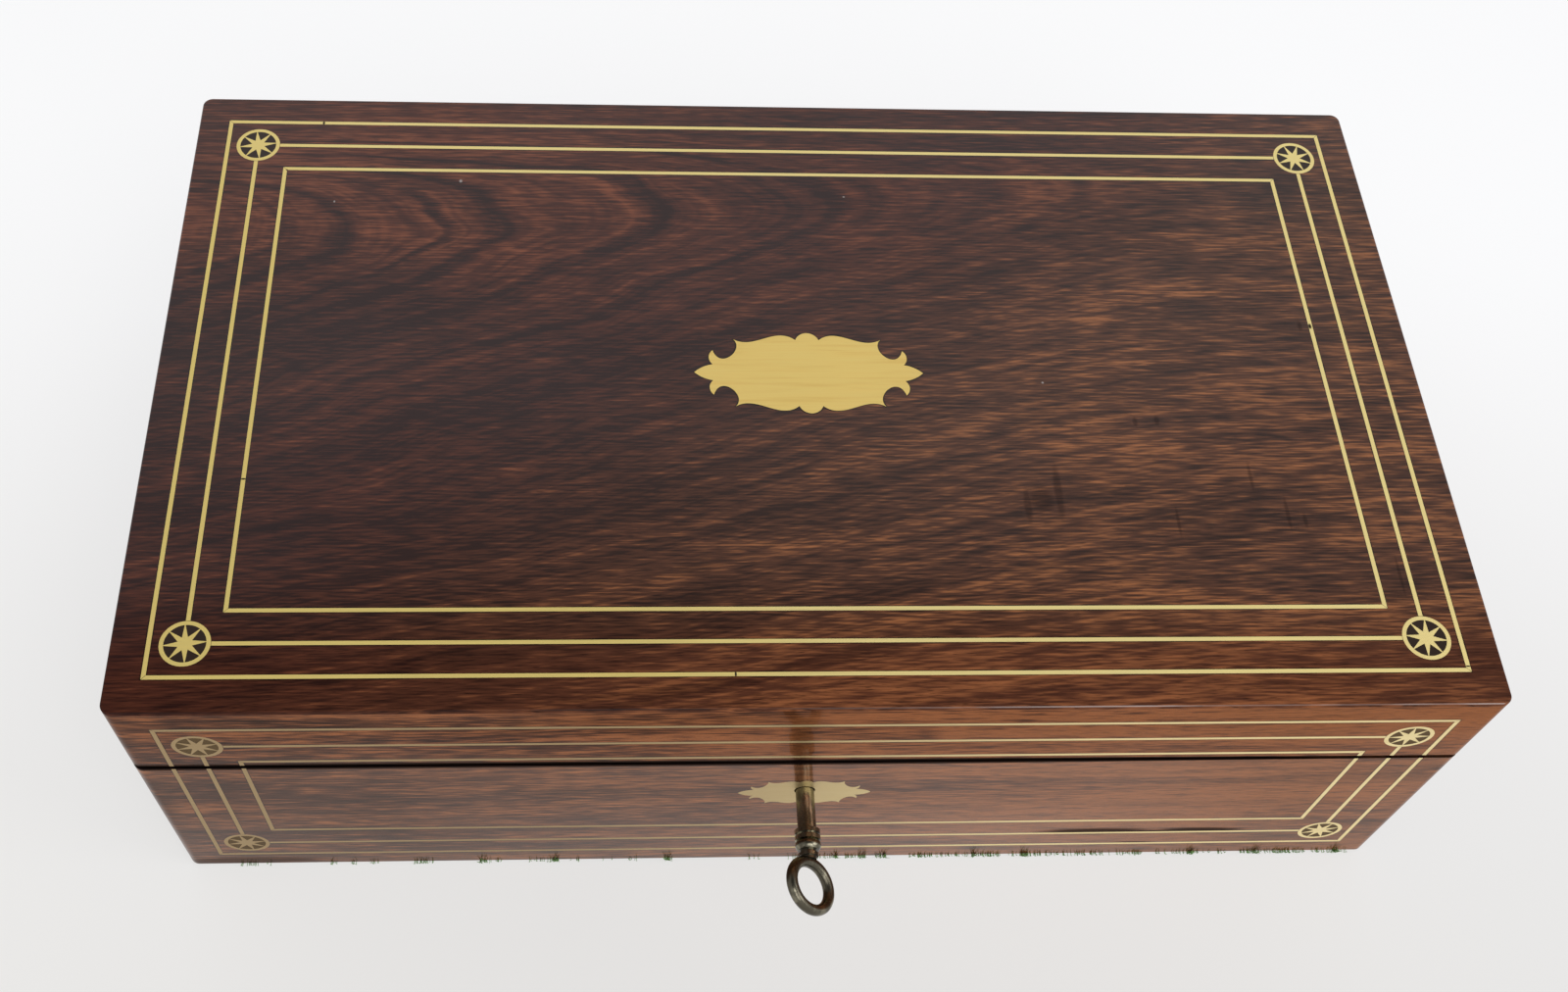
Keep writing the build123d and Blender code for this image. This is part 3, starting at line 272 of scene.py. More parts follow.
# %% [markdown]
# Rosewood has dark ink-like bands, reddish streaks and short black pores. Its bands can run at a slant, but
# its fibres run straight along the board, so a slanting band breaks up into short level dashes. The grain
# is a node group for that: it takes a place on the board in millimetres, X along the fibres, and a flow,
# the same place after the figure has bent it. The flow is jogged fibre by fibre, and streaks are drawn out
# along what comes of it.

# %% Wood grain group
VEIN_SHADE = (0.5, 0.5, 0.55, 1)
PORE_DEPTH = 0.6

grain, given, made = new_group(
    "wood_grain",
    {"Place": VECTOR, "Flow": VECTOR, "Tone": FLOAT, "Contrast": FLOAT, "Veins": FLOAT, "Dark": COLOR,
     "Middle": COLOR, "Light": COLOR},
    {"Color": COLOR, "Pores": FLOAT, "Streaks": FLOAT},
)
jog = sway(grain, given["Place"], (17, 0.6, 20), 9.0, 2, 1)
jog = reckon(grain, "ADD", jog, sway(grain, given["Place"], (6, 0.35, 9), 4.0, 1, 2))
jogged = gather(grain, 0.0, jog, 0.0)
flow = add(grain, "VectorMath", {0: given["Flow"], 1: jogged}, operation="ADD").outputs[0]
fibre = mottle(grain, given["Place"], (10, 0.75, 8), 1, 5)
swing = reckon(grain, "MULTIPLY_ADD", fibre, 1.9, -0.95)
for course, lengths, reach, detail, seed in (
    (flow, (170, 12, 60), 0.6, 1, 3),
    (flow, (70, 3.8, 30), 0.7, 2, 4),
    (given["Flow"], (110, 4.5, 30), 0.8, 1, 18),
    (given["Flow"], (18, 1.2, 12), 0.9, 1, 16),
    (given["Place"], (60, 20, 40), 0.5, 1, 17),
):
    swing = reckon(grain, "ADD", swing, sway(grain, course, lengths, reach, detail, seed))
tone = reckon(grain, "MULTIPLY_ADD", swing, given["Contrast"], given["Tone"])
body = blend(grain, reckon(grain, "MULTIPLY", tone, 2.0, clamp=True), given["Dark"], given["Middle"])
body = blend(grain, reckon(grain, "MULTIPLY_ADD", tone, 2.0, -1.0, clamp=True), body, given["Light"])
vein_colour = blend(grain, 1.0, given["Dark"], VEIN_SHADE, "MULTIPLY")
vein = reckon(grain, "ABSOLUTE", sway(grain, flow, (150, 6.5, 60), 1.0, 1, 6))
vein = reckon(grain, "MULTIPLY", rise(grain, vein, 0.01, 0.06, 1.0, 0.0), given["Veins"])
broken = rise(grain, mottle(grain, given["Place"], (60, 20, 30), 1, 7), 0.4, 0.6)
body = blend(grain, reckon(grain, "MULTIPLY", vein, broken), body, vein_colour)
pores = rise(grain, mottle(grain, given["Place"], (4.5, 0.24, 2.0), 1, 8), 0.58, 0.7)
body = blend(grain, reckon(grain, "MULTIPLY", pores, PORE_DEPTH), body, vein_colour)
wire(grain, body, made["Color"])
wire(grain, pores, made["Pores"])
wire(grain, fibre, made["Streaks"])
print("grain nodes", len(grain.nodes))

# %% [markdown]
# The lid's veneer is one sheet cut flat through the log, so its growth rings show as nested arrow heads at
# the upper left. Their lower arms sweep down to the left edge and turn level towards the right. A bent copy
# of the across-grain coordinate gives that: a rounded fold about the line of the tips, less a climb along X
# that dies away. Dark rings are then bands at chosen values of it, where the tips lie on the real lid.

# %% Crown figure group
RING_TIPS = ((-52.5, 0.9), (-46.0, 1.4), (-35.8, 0.9), (-29.0, 1.5), (-14.9, 1.8), (3.5, 1.7))
TIP_LINE_SLOPE, TIP_LINE_HEIGHT = 0.08, 72.0
FOLD_ROUNDING = 480.0
STEEP_ABOVE, STEEPNESS = 12.0, 0.05
CLIMB = 102.0

crown, given, made = new_group("crown_figure", {"Place": VECTOR}, {"Flow": VECTOR, "Rings": FLOAT})
x, y, z = split(crown, given["Place"])
tip_line = reckon(crown, "MULTIPLY_ADD", x, TIP_LINE_SLOPE, TIP_LINE_HEIGHT)
off_tips = reckon(crown, "SUBTRACT", y, tip_line)
fold = reckon(crown, "SQRT", reckon(crown, "MULTIPLY_ADD", off_tips, off_tips, FOLD_ROUNDING))
above = reckon(crown, "MAXIMUM", reckon(crown, "SUBTRACT", off_tips, STEEP_ABOVE), 0.0)
fold = reckon(crown, "MULTIPLY_ADD", reckon(crown, "MULTIPLY", above, above), STEEPNESS, fold)
climb = reckon(crown, "MULTIPLY", rise(crown, x, 150.0, -330.0), rise(crown, y, -130.0, -40.0, 0.5, 1.0))
across = reckon(crown, "MULTIPLY_ADD", climb, -CLIMB, fold)
drift = sway(crown, given["Place"], (90, 40, 60), 16.0, 2, 9)
across = reckon(crown, "MULTIPLY_ADD", drift, rise(crown, x, -60.0, 90.0, 1.0, 0.35), across)
wire(crown, gather(crown, x, across, z), made["Flow"])
ragged = reckon(crown, "ADD", across, sway(crown, given["Place"], (12, 0.9, 20), 4.0, 2, 10))
rings = 0.0
for tip, reach in RING_TIPS:
    away = reckon(crown, "ABSOLUTE", reckon(crown, "SUBTRACT", ragged, tip))
    rings = reckon(crown, "MAXIMUM", rings, rise(crown, away, 0.3 * reach, 1.5 * reach, 1.0, 0.0))
rings = reckon(crown, "MULTIPLY", rings, rise(crown, x, 90.0, -60.0))
rings = reckon(crown, "MULTIPLY", rings, rise(crown, off_tips, -60.0, -12.0, 0.35, 1.0))
wire(crown, rings, made["Rings"])
print("crown nodes", len(crown.nodes))

# %% [markdown]
# Two more groups place small things on a face. One gives the distance from the outline of a rectangle, for
# the black filler beside the brass lines and for gilt lines on leather. The other is a soft spot, for marks
# and nicks.

# %% Rectangle and spot groups
rectangle, given, made = new_group(
    "rectangle_outline",
    {"Along": FLOAT, "Across": FLOAT, "Half Length": FLOAT, "Half Breadth": FLOAT},
    {"Distance": FLOAT},
)
length_off = reckon(rectangle, "ABSOLUTE", given["Along"])
length_off = reckon(rectangle, "SUBTRACT", length_off, given["Half Length"])
breadth_off = reckon(rectangle, "ABSOLUTE", given["Across"])
breadth_off = reckon(rectangle, "SUBTRACT", breadth_off, given["Half Breadth"])
outside = reckon(rectangle, "MAXIMUM", length_off, breadth_off)
wire(rectangle, reckon(rectangle, "ABSOLUTE", outside), made["Distance"])

spot, given, made = new_group(
    "soft_spot", {"Place": VECTOR, "Centre": VECTOR, "Reach": VECTOR, "Core": FLOAT}, {"Mask": FLOAT},
)
away = add(spot, "VectorMath", {0: given["Place"], 1: given["Centre"]}, operation="SUBTRACT").outputs[0]
away = add(spot, "VectorMath", {0: away, 1: given["Reach"]}, operation="DIVIDE").outputs[0]
away = add(spot, "VectorMath", {0: away}, operation="LENGTH").outputs["Value"]
wire(spot, rise(spot, away, given["Core"], 1.0, 1.0, 0.0), made["Mask"])


def from_rectangle(tree, place, half_length, half_breadth, middle):
    """Distance from the outline of a rectangle whose centre is at X = 0 and Y = middle."""
    x, y = split(tree, place)[:2]
    inputs = {
        "Along": x, "Across": reckon(tree, "SUBTRACT", y, middle),
        "Half Length": half_length, "Half Breadth": half_breadth,
    }
    return use(tree, rectangle, inputs)["Distance"]


def spots(tree, place, table, core=0.4):
    """One mask for a table of spots: x, y, half length and half breadth, with a full core of this share."""
    x, y = split(tree, place)[:2]
    flat = gather(tree, x, y, 0.0)
    mask = 0.0
    for centre_x, centre_y, reach_x, reach_y in table:
        centre, reach = (centre_x, centre_y, 0.0), (reach_x, reach_y, 1.0)
        inputs = {"Place": flat, "Centre": centre, "Reach": reach, "Core": core}
        mask = reckon(tree, "MAXIMUM", mask, use(tree, spot, inputs)["Mask"])
    return mask


print("group nodes", len(rectangle.nodes), len(spot.nodes))

# %% [markdown]
# Most finishes end the same way: two colours are mixed, the roughness follows a noise, and a bump tilts the
# light by heights that are finer than any mesh. The CAD nodes get a finish through their material slots, so
# their meshes stay as they are.

# %% Helpers for finishes
def paint(tree, surface, amount, first, second):
    """Gives a shader a mix of two colours."""
    wire(tree, blend(tree, amount, first, second), surface.inputs["Base Color"])


def times(tree, colour, factor):
    """A colour times a number."""
    return blend(tree, 1.0, colour, (factor, factor, factor, 1), "MULTIPLY")


def roughen(tree, surface, value, start, end, low, high):
    """Lets the roughness go from low to high as a value goes from start to end."""
    wire(tree, rise(tree, value, start, end, low, high), surface.inputs["Roughness"])


def bump(tree, surface, height, distance):
    """Lets a height, times a distance in metres, tilt the surface."""
    inputs = {"Height": height, "Distance": distance, "Strength": 1.0}
    tree.links.new(add(tree, "Bump", inputs).outputs[0], surface.inputs["Normal"])


def dress(material, *names):
    """Gives CAD nodes a finish."""
    for name in names:
        for slot in nodes[name].material_slots:
            slot.material = material
    print("dressed", material.name, len(names))


def face_place(tree, along, across):
    """Millimetres along and across the grain of a face, given its two axes."""
    axes = split(tree, millimetres(tree))
    left = ({0, 1, 2} - {along, across}).pop()
    return gather(tree, axes[along], axes[across], axes[left])


# %% [markdown]
# Three edges are painted. Beside the brass lines the wood is painted dark: painted shade. A seam has
# painted shade along its edges, and a front arris has painted shade at the left and a painted highlight
# at the right. Each of these is a mask from one distance, so each is a small function.

# %% Painted shade and highlight at the edges
# A near black for the knocks, and for painted shade in the seam, in the splits and at the arris's left end.
INK_AND_SHADE = (0.012, 0.009, 0.009, 1)
LINE_EDGE_SHADE = (0.006, 0.004, 0.0035, 1)
PAINTED_EDGE_HIGHLIGHT = (0.42, 0.34, 0.31, 1)


def beside_lines(tree, place, colour, lines):
    """Paints shade on the wood beside rectangles of line: the half length, half breadth and middle of each.
    """
    smear = mottle(tree, place, (9, 9, 9), 2, 11)
    for half_length, half_breadth, middle in lines:
        apart = from_rectangle(tree, place, half_length, half_breadth, middle)
        edge = reckon(tree, "MULTIPLY_ADD", smear, -0.9, apart)
        colour = blend(tree, rise(tree, edge, 0.25, 0.6, 0.75, 0.0), colour, LINE_EDGE_SHADE)
    return colour


def paint_seam_shade(tree, place, seam):
    """A mask of painted shade along the edges of a seam at this height, narrowing towards the right."""
    x, y = split(tree, place)[:2]
    apart = reckon(tree, "ABSOLUTE", reckon(tree, "SUBTRACT", y, seam))
    apart = reckon(tree, "ADD", apart, rise(tree, x, 30.0, 190.0, 0.0, 1.0))
    return rise(tree, apart, 1.8, 2.3, 0.97, 0.0)


def paint_arris_light(tree, place, colour, arris):
    """Paints shade and a highlight on the front arris, where Z less Y comes close to this value."""
    x, y, z = split(tree, place)
    # Along the arris: painted shade at the left and a painted highlight at the right, in patches.
    rubbed = rise(tree, reckon(tree, "SUBTRACT", z, y), arris - 0.07, arris - 0.015)
    patches = rise(tree, mottle(tree, place, (20, 6, 6), 3, 19), 0.4, 0.6, 0.2, 0.7)
    arris_shade_and_highlight = blend(tree, rise(tree, x, -30.0, 110.0), INK_AND_SHADE, PAINTED_EDGE_HIGHLIGHT)
    return blend(tree, reckon(tree, "MULTIPLY", rubbed, patches), colour, arris_shade_and_highlight)


# %% [markdown]
# Every veneer has the same build: grain, shade painted beside the lines, dark grounds of the roundels,
# marks, and a French polish that is a clear coat with a faint ripple. Only the face's directions, its zones
# of tone and its marks differ, so one function makes them all. The wood goes from a cool red-brown to a
# warm orange-brown, and a warmth mixes the two. Grounds, marks and a seam's painted shade have no polish.
#
# Polished fibres also shine in the wood's own colour, as metals do. A face with that sheen is therefore
# partly metallic: a soft reflection tinted by the wood takes the place of most of its plain colour, so
# that a dark thing in front of it shows as a dark band. The plain specular tint keeps white glare off.

# %% Rosewood veneer
COLD = {
    "Dark": (0.02, 0.006, 0.005, 1), "Middle": (0.071, 0.019, 0.0105, 1), "Light": (0.2, 0.06, 0.027, 1),
}
WARM = {
    "Dark": (0.025, 0.0095, 0.0055, 1), "Middle": (0.088, 0.0325, 0.016, 1), "Light": (0.29, 0.107, 0.039, 1),
}
POLISH = {"Roughness": 0.4, "Specular IOR Level": 0.0, "Coat Roughness": 0.06, "Coat IOR": 1.5}
SHEEN = {"Roughness": 0.22, "Metallic": 0.78, "Specular Tint": (0.64, 0.56, 0.525, 1)}
SHEEN_BASE = 1.27
RING_TONE = -0.38
VEINS = 0.4
SEAT_RADIUS, SEAT_CORE = 6.8, 0.96
DARK_GROUND = ((0.03, 0.019, 0.014, 1), 0.4)


def roundel_seats(spread, heights):
    """Spots for the dark grounds of the roundels, two at each height."""
    return tuple((side * spread, height, SEAT_RADIUS, SEAT_RADIUS) for height in heights for side in (-1, 1))


def veneer(
    name, along, across, zones, figure=None, lines=(), roundels=(), ground=DARK_GROUND, marks=(), seam=None,
    arris=None, sheen=False,
):
    """A polished rosewood finish; ground is the colour under the roundels and the share of polish lost."""
    material, tree, surface = new_material(name, {**POLISH, **SHEEN} if sheen else POLISH)
    place = face_place(tree, along, across)
    tone, warmth, coat, contrast = zones(tree, place)
    if figure:
        bent = use(tree, figure, {"Place": place})
        flow = bent["Flow"]
        tone = reckon(tree, "MULTIPLY_ADD", bent["Rings"], RING_TONE, tone)
    else:
        x, y, z = split(tree, place)
        wander = sway(tree, place, (160, 34, 60), 14.0, 2, 12)
        flow = gather(tree, x, reckon(tree, "ADD", wander, y), z)
    colours = {key: blend(tree, warmth, COLD[key], WARM[key]) for key in COLD}
    wood = use(tree, grain, {
        "Place": place, "Flow": flow, "Tone": tone, "Contrast": contrast, "Veins": VEINS, **colours,
    })
    colour = beside_lines(tree, place, wood["Color"], lines)
    grounds = spots(tree, place, roundels, SEAT_CORE)
    ground_colour, unpolished = ground
    colour = blend(tree, grounds, colour, ground_colour)
    bare = reckon(tree, "MULTIPLY", grounds, unpolished)
    if seam:
        # Painted shade in the seam's gap, with its polish taken off.
        seam_shade = paint_seam_shade(tree, place, seam)
        colour = blend(tree, seam_shade, colour, INK_AND_SHADE)
        bare = reckon(tree, "MAXIMUM", bare, seam_shade)
    for mark_colour, strength, table in marks:
        mask = reckon(tree, "MULTIPLY", spots(tree, place, table), strength)
        colour = blend(tree, mask, colour, mark_colour)
        bare = reckon(tree, "MAXIMUM", bare, mask)
    # Painted shade and a painted highlight along the front arris.
    if arris:
        colour = paint_arris_light(tree, place, colour, arris)
    if sheen:
        colour = times(tree, colour, SHEEN_BASE)
    wire(tree, colour, surface.inputs["Base Color"])
    coat = reckon(tree, "ADD", coat, sway(tree, place, (60, 40, 40), 0.2, 3, 13))
    coat = reckon(tree, "MULTIPLY", coat, reckon(tree, "SUBTRACT", 1.0, bare))
    wire(tree, coat, surface.inputs["Coat Weight"])
    ripple = reckon(tree, "MULTIPLY_ADD", wood["Pores"], -0.05, mottle(tree, place, (30, 18, 18), 1, 14))
    bump(tree, surface, ripple, 0.00012)
    return material


# %% [markdown]
# The lid is dark at the left and in the middle, reddish where the arrow heads are, and orange-brown towards
# the right and the front, with light streaks. Old knocks have left short dark marks across the grain, and
# pale specks. A painted mask would place them too, but spots in a table can be moved one by one.

# %% Veneer of the lid's top
TOP_LINES = ((189.3, 105.5, 0.0), (179.25, 94.95, 0.0), (169.2, 84.4, 0.0))
TOP_ARRIS = 233.59
LIGHT_STREAKS = (
    (104, 5.6, 28, 2.4), (137, -8, 22, 2.6), (148, -14, 24, 3.0), (96, 22, 16, 2.4), (124, 20, 18, 2.4),
    (137, 33.5, 22, 2.4), (130, 59, 38, 1.8), (112, -29, 26, 2.4), (142, -33, 24, 2.4), (128, -39.5, 22, 2.6),
    (136, -56, 18, 3.2), (96, -50, 18, 2.4), (30, 56, 34, 2.0), (-20, -63, 30, 2.6), (-75, -45, 24, 3.0),
)
KNOCKS = (
    (76.5, -44, 1.7, 13), (66.5, -49, 1.6, 8), (111.5, -17.5, 1.2, 2.4), (104.5, -18, 1.0, 2.6),
    (137.5, -38.5, 0.8, 7), (146.5, -52, 0.9, 8), (112, -55, 0.7, 7), (151.5, -54.5, 0.9, 3.5),
    (165.6, 20.4, 1.0, 2.6), (176.4, -74, 0.7, 9), (71, -47, 5, 6),
)
SPECKS = ((77, -3, 0.5, 0.5), (-110.5, 79.7, 0.7, 0.9), (-151.7, 70, 0.4, 0.6), (18.7, 74.5, 0.5, 0.4))
SPECK_COLOUR = (0.45, 0.42, 0.4, 1)


def top_tone(tree, place):
    """How light the lid's wood is."""
    x, y, z = split(tree, place)
    # The wood gets lighter towards the right and the front.
    slant = reckon(tree, "MULTIPLY_ADD", y, -0.9, x)
    tone = rise(tree, slant, -80.0, 130.0, 0.14, 0.44)
    tone = reckon(tree, "ADD", tone, rise(tree, y, -40.0, -112.0, 0.0, 0.1))
    # The light streaks are ragged, as fibres are.
    ragged = reckon(tree, "ADD", y, sway(tree, place, (9, 0.9, 9), 4.0, 1, 20))
    lit = spots(tree, gather(tree, x, ragged, z), LIGHT_STREAKS, 0.0)
    tone = reckon(tree, "MULTIPLY_ADD", lit, 0.3, tone)
    # The strip along the front edge is a little lighter, but darker at its right end.
    border = reckon(tree, "MULTIPLY", rise(tree, y, -88.0, -108.0), rise(tree, x, 90.0, 185.0, 0.07, -0.06))
    tone = reckon(tree, "ADD", tone, border)
    # The arrow heads are lighter too, and so is the back, least of all at the right.
    head = reckon(tree, "MULTIPLY", rise(tree, x, 10.0, -90.0), rise(tree, y, 15.0, 55.0))
    head = reckon(tree, "MULTIPLY", head, rise(tree, y, 80.0, 115.0, 1.0, 0.5))
    tone = reckon(tree, "MULTIPLY_ADD", head, 0.26, tone)
    back = reckon(tree, "MULTIPLY", rise(tree, y, 5.0, 55.0), rise(tree, x, 150.0, 0.0, 0.15, 1.0))
    return reckon(tree, "MULTIPLY_ADD", back, 0.2, tone)


def top_zones(tree, place):
    """Tone, warmth, coat and contrast of the lid."""
    x, y = split(tree, place)[:2]
    warmth = rise(tree, reckon(tree, "MULTIPLY_ADD", y, -1.5, x), -90.0, 90.0)
    warmth = reckon(tree, "MULTIPLY", warmth, rise(tree, y, -84.0, -104.0, 1.0, 0.6))
    # The polish is thin at the front edge, and a little so in the right front corner.
    coat = rise(tree, y, -108.0, -66.0, 0.12, 0.66)
    coat = reckon(tree, "ADD", coat, rise(tree, y, -70.0, 10.0, 0.0, 0.24))
    coat = reckon(tree, "ADD", coat, rise(tree, y, 60.0, 112.0, 0.0, 0.08))
    to_corner = rise(tree, reckon(tree, "SUBTRACT", x, y), 60.0, 200.0, 1.0, 0.8)
    coat = reckon(tree, "MULTIPLY", coat, to_corner)
    contrast = rise(tree, reckon(tree, "MULTIPLY_ADD", y, -0.6, x), -60.0, 90.0, 0.75, 0.86)
    contrast = reckon(tree, "MULTIPLY", contrast, rise(tree, y, -82.0, -98.0, 1.0, 0.68))
    return top_tone(tree, place), warmth, coat, contrast


top_veneer = veneer(
    "top_veneer", 0, 1, top_zones, crown, TOP_LINES, roundel_seats(179.25, (94.95, -94.95)),
    marks=((INK_AND_SHADE, 0.38, KNOCKS), (SPECK_COLOUR, 0.6, SPECKS)), arris=TOP_ARRIS,
)
dress(top_veneer, "lid_top_veneer")

# %% [markdown]
# The front is lighter, most of all at the right: partly the wood's own tone, partly painted light from the
# right. The lid's part of it has lost more of its polish. It has the fibres' sheen, which shows the key as a
# dark band. At the right the veneer has lifted off along the lower run of the middle line, and thin splits
# follow the lowest line; their openings are dark with painted shade. A strip at the left foot is a repair.
# All lengths here are along X and Z.

# %% Veneer of the front
FRONT_LINES = ((188.0, 48.36, 57.86), (177.85, 37.82, 57.3), (167.7, 26.9, 57.41))
FRONT_GROUND = ((0.095, 0.067, 0.034, 1), 0.85)
FRONT_SEAM = 80.5
# Dark lenses and lines of the lifted veneer and the splits: painted shade in their openings.
SPLIT_SHADES = (
    (101, 21.0, 26, 3.5), (136, 21.0, 20, 3.3), (118, 20.6, 40, 1.2), (116, 10.8, 9, 0.5),
    (-168, 9.0, 18, 0.5),
)
REPAIRS = ((-178, 3.4, 30, 4.0),)
REPAIR_COLOUR = (0.045, 0.028, 0.022, 1)


def front_zones(tree, place):
    """Tone, warmth, coat and contrast of the front."""
    x, y = split(tree, place)[:2]
    on_lid = rise(tree, y, 79.0, 82.0)
    # The base gets lighter towards the right, less so over the last few centimetres: partly the wood's
    # tone, partly painted light from the right.
    tone = rise(tree, x, -160.0, 150.0, 0.44, 0.92)
    tone = reckon(tree, "ADD", tone, rise(tree, x, 100.0, 190.0, 0.0, -0.08))
    # The lid's part is lighter still, least of all at the left and near the seam: partly painted light too.
    lid_tone = rise(tree, x, -190.0, -40.0, 0.05, 0.17)
    lid_tone = reckon(tree, "ADD", lid_tone, rise(tree, y, 102.0, 88.0, 0.0, -0.06))
    tone = reckon(tree, "MULTIPLY_ADD", on_lid, lid_tone, tone)
    base_coat = rise(tree, y, 60.0, 5.0, 0.64, 0.86)
    base_coat = reckon(tree, "MULTIPLY", base_coat, rise(tree, x, -140.0, 20.0, 0.74, 1.0))
    base_coat = reckon(tree, "MULTIPLY", base_coat, rise(tree, x, 60.0, 170.0, 1.0, 0.62))
    lid_coat = rise(tree, y, 112.0, 84.0, 0.1, 0.26)
    lid_coat = reckon(tree, "ADD", lid_coat, rise(tree, x, -20.0, -190.0, 0.0, 0.14))
    coat = reckon(tree, "MULTIPLY_ADD", on_lid, reckon(tree, "SUBTRACT", lid_coat, base_coat), base_coat)
    warmth = reckon(tree, "MULTIPLY_ADD", on_lid, -0.2, 1.0)
    contrast = reckon(tree, "MULTIPLY_ADD", on_lid, 0.25, rise(tree, x, -160.0, 100.0, 1.05, 0.72))
    return tone, warmth, coat, contrast


front_veneer = veneer(
    "front_veneer", 0, 2, front_zones, None, FRONT_LINES, roundel_seats(177.85, (95.11, 19.48)), FRONT_GROUND,
    marks=((INK_AND_SHADE, 0.95, SPLIT_SHADES), (REPAIR_COLOUR, 0.6, REPAIRS)), seam=FRONT_SEAM, sheen=True,
)
dress(front_veneer, "lid_front_veneer", "base_front_veneer")

# %% [markdown]
# The sides, the back and the rosewood inside have no such marks: one slow drift of tone is enough for them.

# %% Other veneers
PLAIN_COAT, PLAIN_CONTRAST = 0.85, 0.8


def plain_zones(tree, place):
    """Tone, warmth, coat and contrast, of which the first two drift slowly."""
    drift = mottle(tree, place, (200, 60, 60), 1, 15)
    return reckon(tree, "MULTIPLY_ADD", drift, 0.5, 0.2), drift, PLAIN_COAT, PLAIN_CONTRAST


dress(veneer("back_veneer", 0, 2, plain_zones), "lid_back_veneer", "base_back_veneer")
dress(veneer("side_veneer", 1, 2, plain_zones), "lid_side_veneers", "base_side_veneers")
dress(
    veneer("inner_rosewood", 0, 1, plain_zones),
    "base_flap_board", "lid_flap_board", "base_flap_rail", "lid_flap_rail",
)

# %% [markdown]
# Under the veneers the case is mahogany, and so are the fittings inside. It is plainer than rosewood: the
# same grain group with close reddish colours, few veins and a wax finish without a coat.

# %% Mahogany
MAHOGANY = {
    "Dark": (0.07, 0.022, 0.01, 1), "Middle": (0.17, 0.062, 0.026, 1), "Light": (0.29, 0.125, 0.055, 1),
    "Tone": 0.5, "Contrast": 0.7, "Veins": 0.12,
}


def mahogany(name, along, across):
    """Waxed mahogany with its fibres along one axis."""
    material, tree, surface = new_material(name, {"Specular IOR Level": 0.35})
    place = face_place(tree, along, across)
    wood = use(tree, grain, {"Place": place, "Flow": place, **MAHOGANY})
    wire(tree, wood["Color"], surface.inputs["Base Color"])
    roughen(tree, surface, wood["Streaks"], 0.3, 0.7, 0.42, 0.6)
    bump(tree, surface, reckon(tree, "SUBTRACT", wood["Streaks"], wood["Pores"]), 0.00004)
    return material


dress(
    mahogany("long_mahogany", 0, 2),
    "base_front_board", "base_back_board", "lid_front_board", "lid_back_board", "pen_partition",
)
dress(mahogany("flat_mahogany", 0, 1), "base_bottom_board", "lid_top_board", "pen_tray")
dress(
    mahogany("side_mahogany", 1, 2),
    "base_side_boards", "lid_side_boards", "base_flap_bearers", "lid_flap_bearers", "inkwell_dividers",
)

# %% [markdown]
# Brass dulls between polishings: the lines and plates are brushed along their length, a little brown where
# cloth does not reach. The brushing is noise drawn out along X that changes colour, roughness and slope
# together. The front's brass is painted darker towards the left, as painted shade: its light comes mostly
# from the right. The lid's lines are darkened the same way at the lower left. These lines also have nicks
# and open joints, as laid brass has.

# %% Brass
NICK_COLOUR = (0.03, 0.022, 0.015, 1)
NICKS = (
    (-158.2, 105.5, 0.5, 1.2), (-169.2, -39.8, 1.2, 0.4), (169.0, 20.4, 0.7, 1.4), (-168.6, 83.8, 0.4, 0.4),
    (189.3, -104.3, 1.0, 0.35), (-24.5, -105.5, 0.4, 1.2),
)


def brass(name, bright, dim, rough, tarnish, dark_slant=None, nicks=()):
    """Brushed brass that has started to dull; an optional slant goes from painted shade to bright."""
    material, tree, surface = new_material(name, {"Metallic": 1.0})
    place = millimetres(tree)
    brushing = mottle(tree, place, (22, 0.22, 0.22), 3, 21)
    cloud = mottle(tree, place, (38, 1.7, 3), 3, 22)
    stain_and_shade = reckon(tree, "MULTIPLY", rise(tree, cloud, 0.42, 0.72), tarnish)
    stain_and_shade = reckon(tree, "MAXIMUM", stain_and_shade, rise(tree, brushing, 0.3, 0.7, 0.0, 0.2))
    if dark_slant:
        x, y, z = split(tree, place)
        slant = reckon(tree, "MULTIPLY_ADD", y, 0.8, reckon(tree, "MULTIPLY_ADD", z, -0.3, x))
        # Along the slant the colour goes towards the dim one: painted shade.
        stain_and_shade = reckon(tree, "MAXIMUM", stain_and_shade, rise(tree, slant, *dark_slant, 0.95, 0.0))
    colour = blend(tree, stain_and_shade, bright, dim)
    if nicks:
        colour = blend(tree, spots(tree, place, nicks), colour, NICK_COLOUR)
    wire(tree, colour, surface.inputs["Base Color"])
    roughen(tree, surface, brushing, 0.25, 0.75, *rough)
    bump(tree, surface, brushing, 0.00002)
    return material


dress(
    brass("plate_brass", (1.0, 0.755, 0.257, 1), (0.9, 0.615, 0.182, 1), rough=(0.44, 0.58), tarnish=0.7),
    "cartouche",
)
dress(
    brass(
        "line_brass", (1.0, 0.83, 0.37, 1), (0.9, 0.71, 0.24, 1), rough=(0.44, 0.58), tarnish=0.2,
        dark_slant=(-185.0, -75.0), nicks=NICKS,
    ),
    "lid_top_stringing", "lid_top_roundels",
)
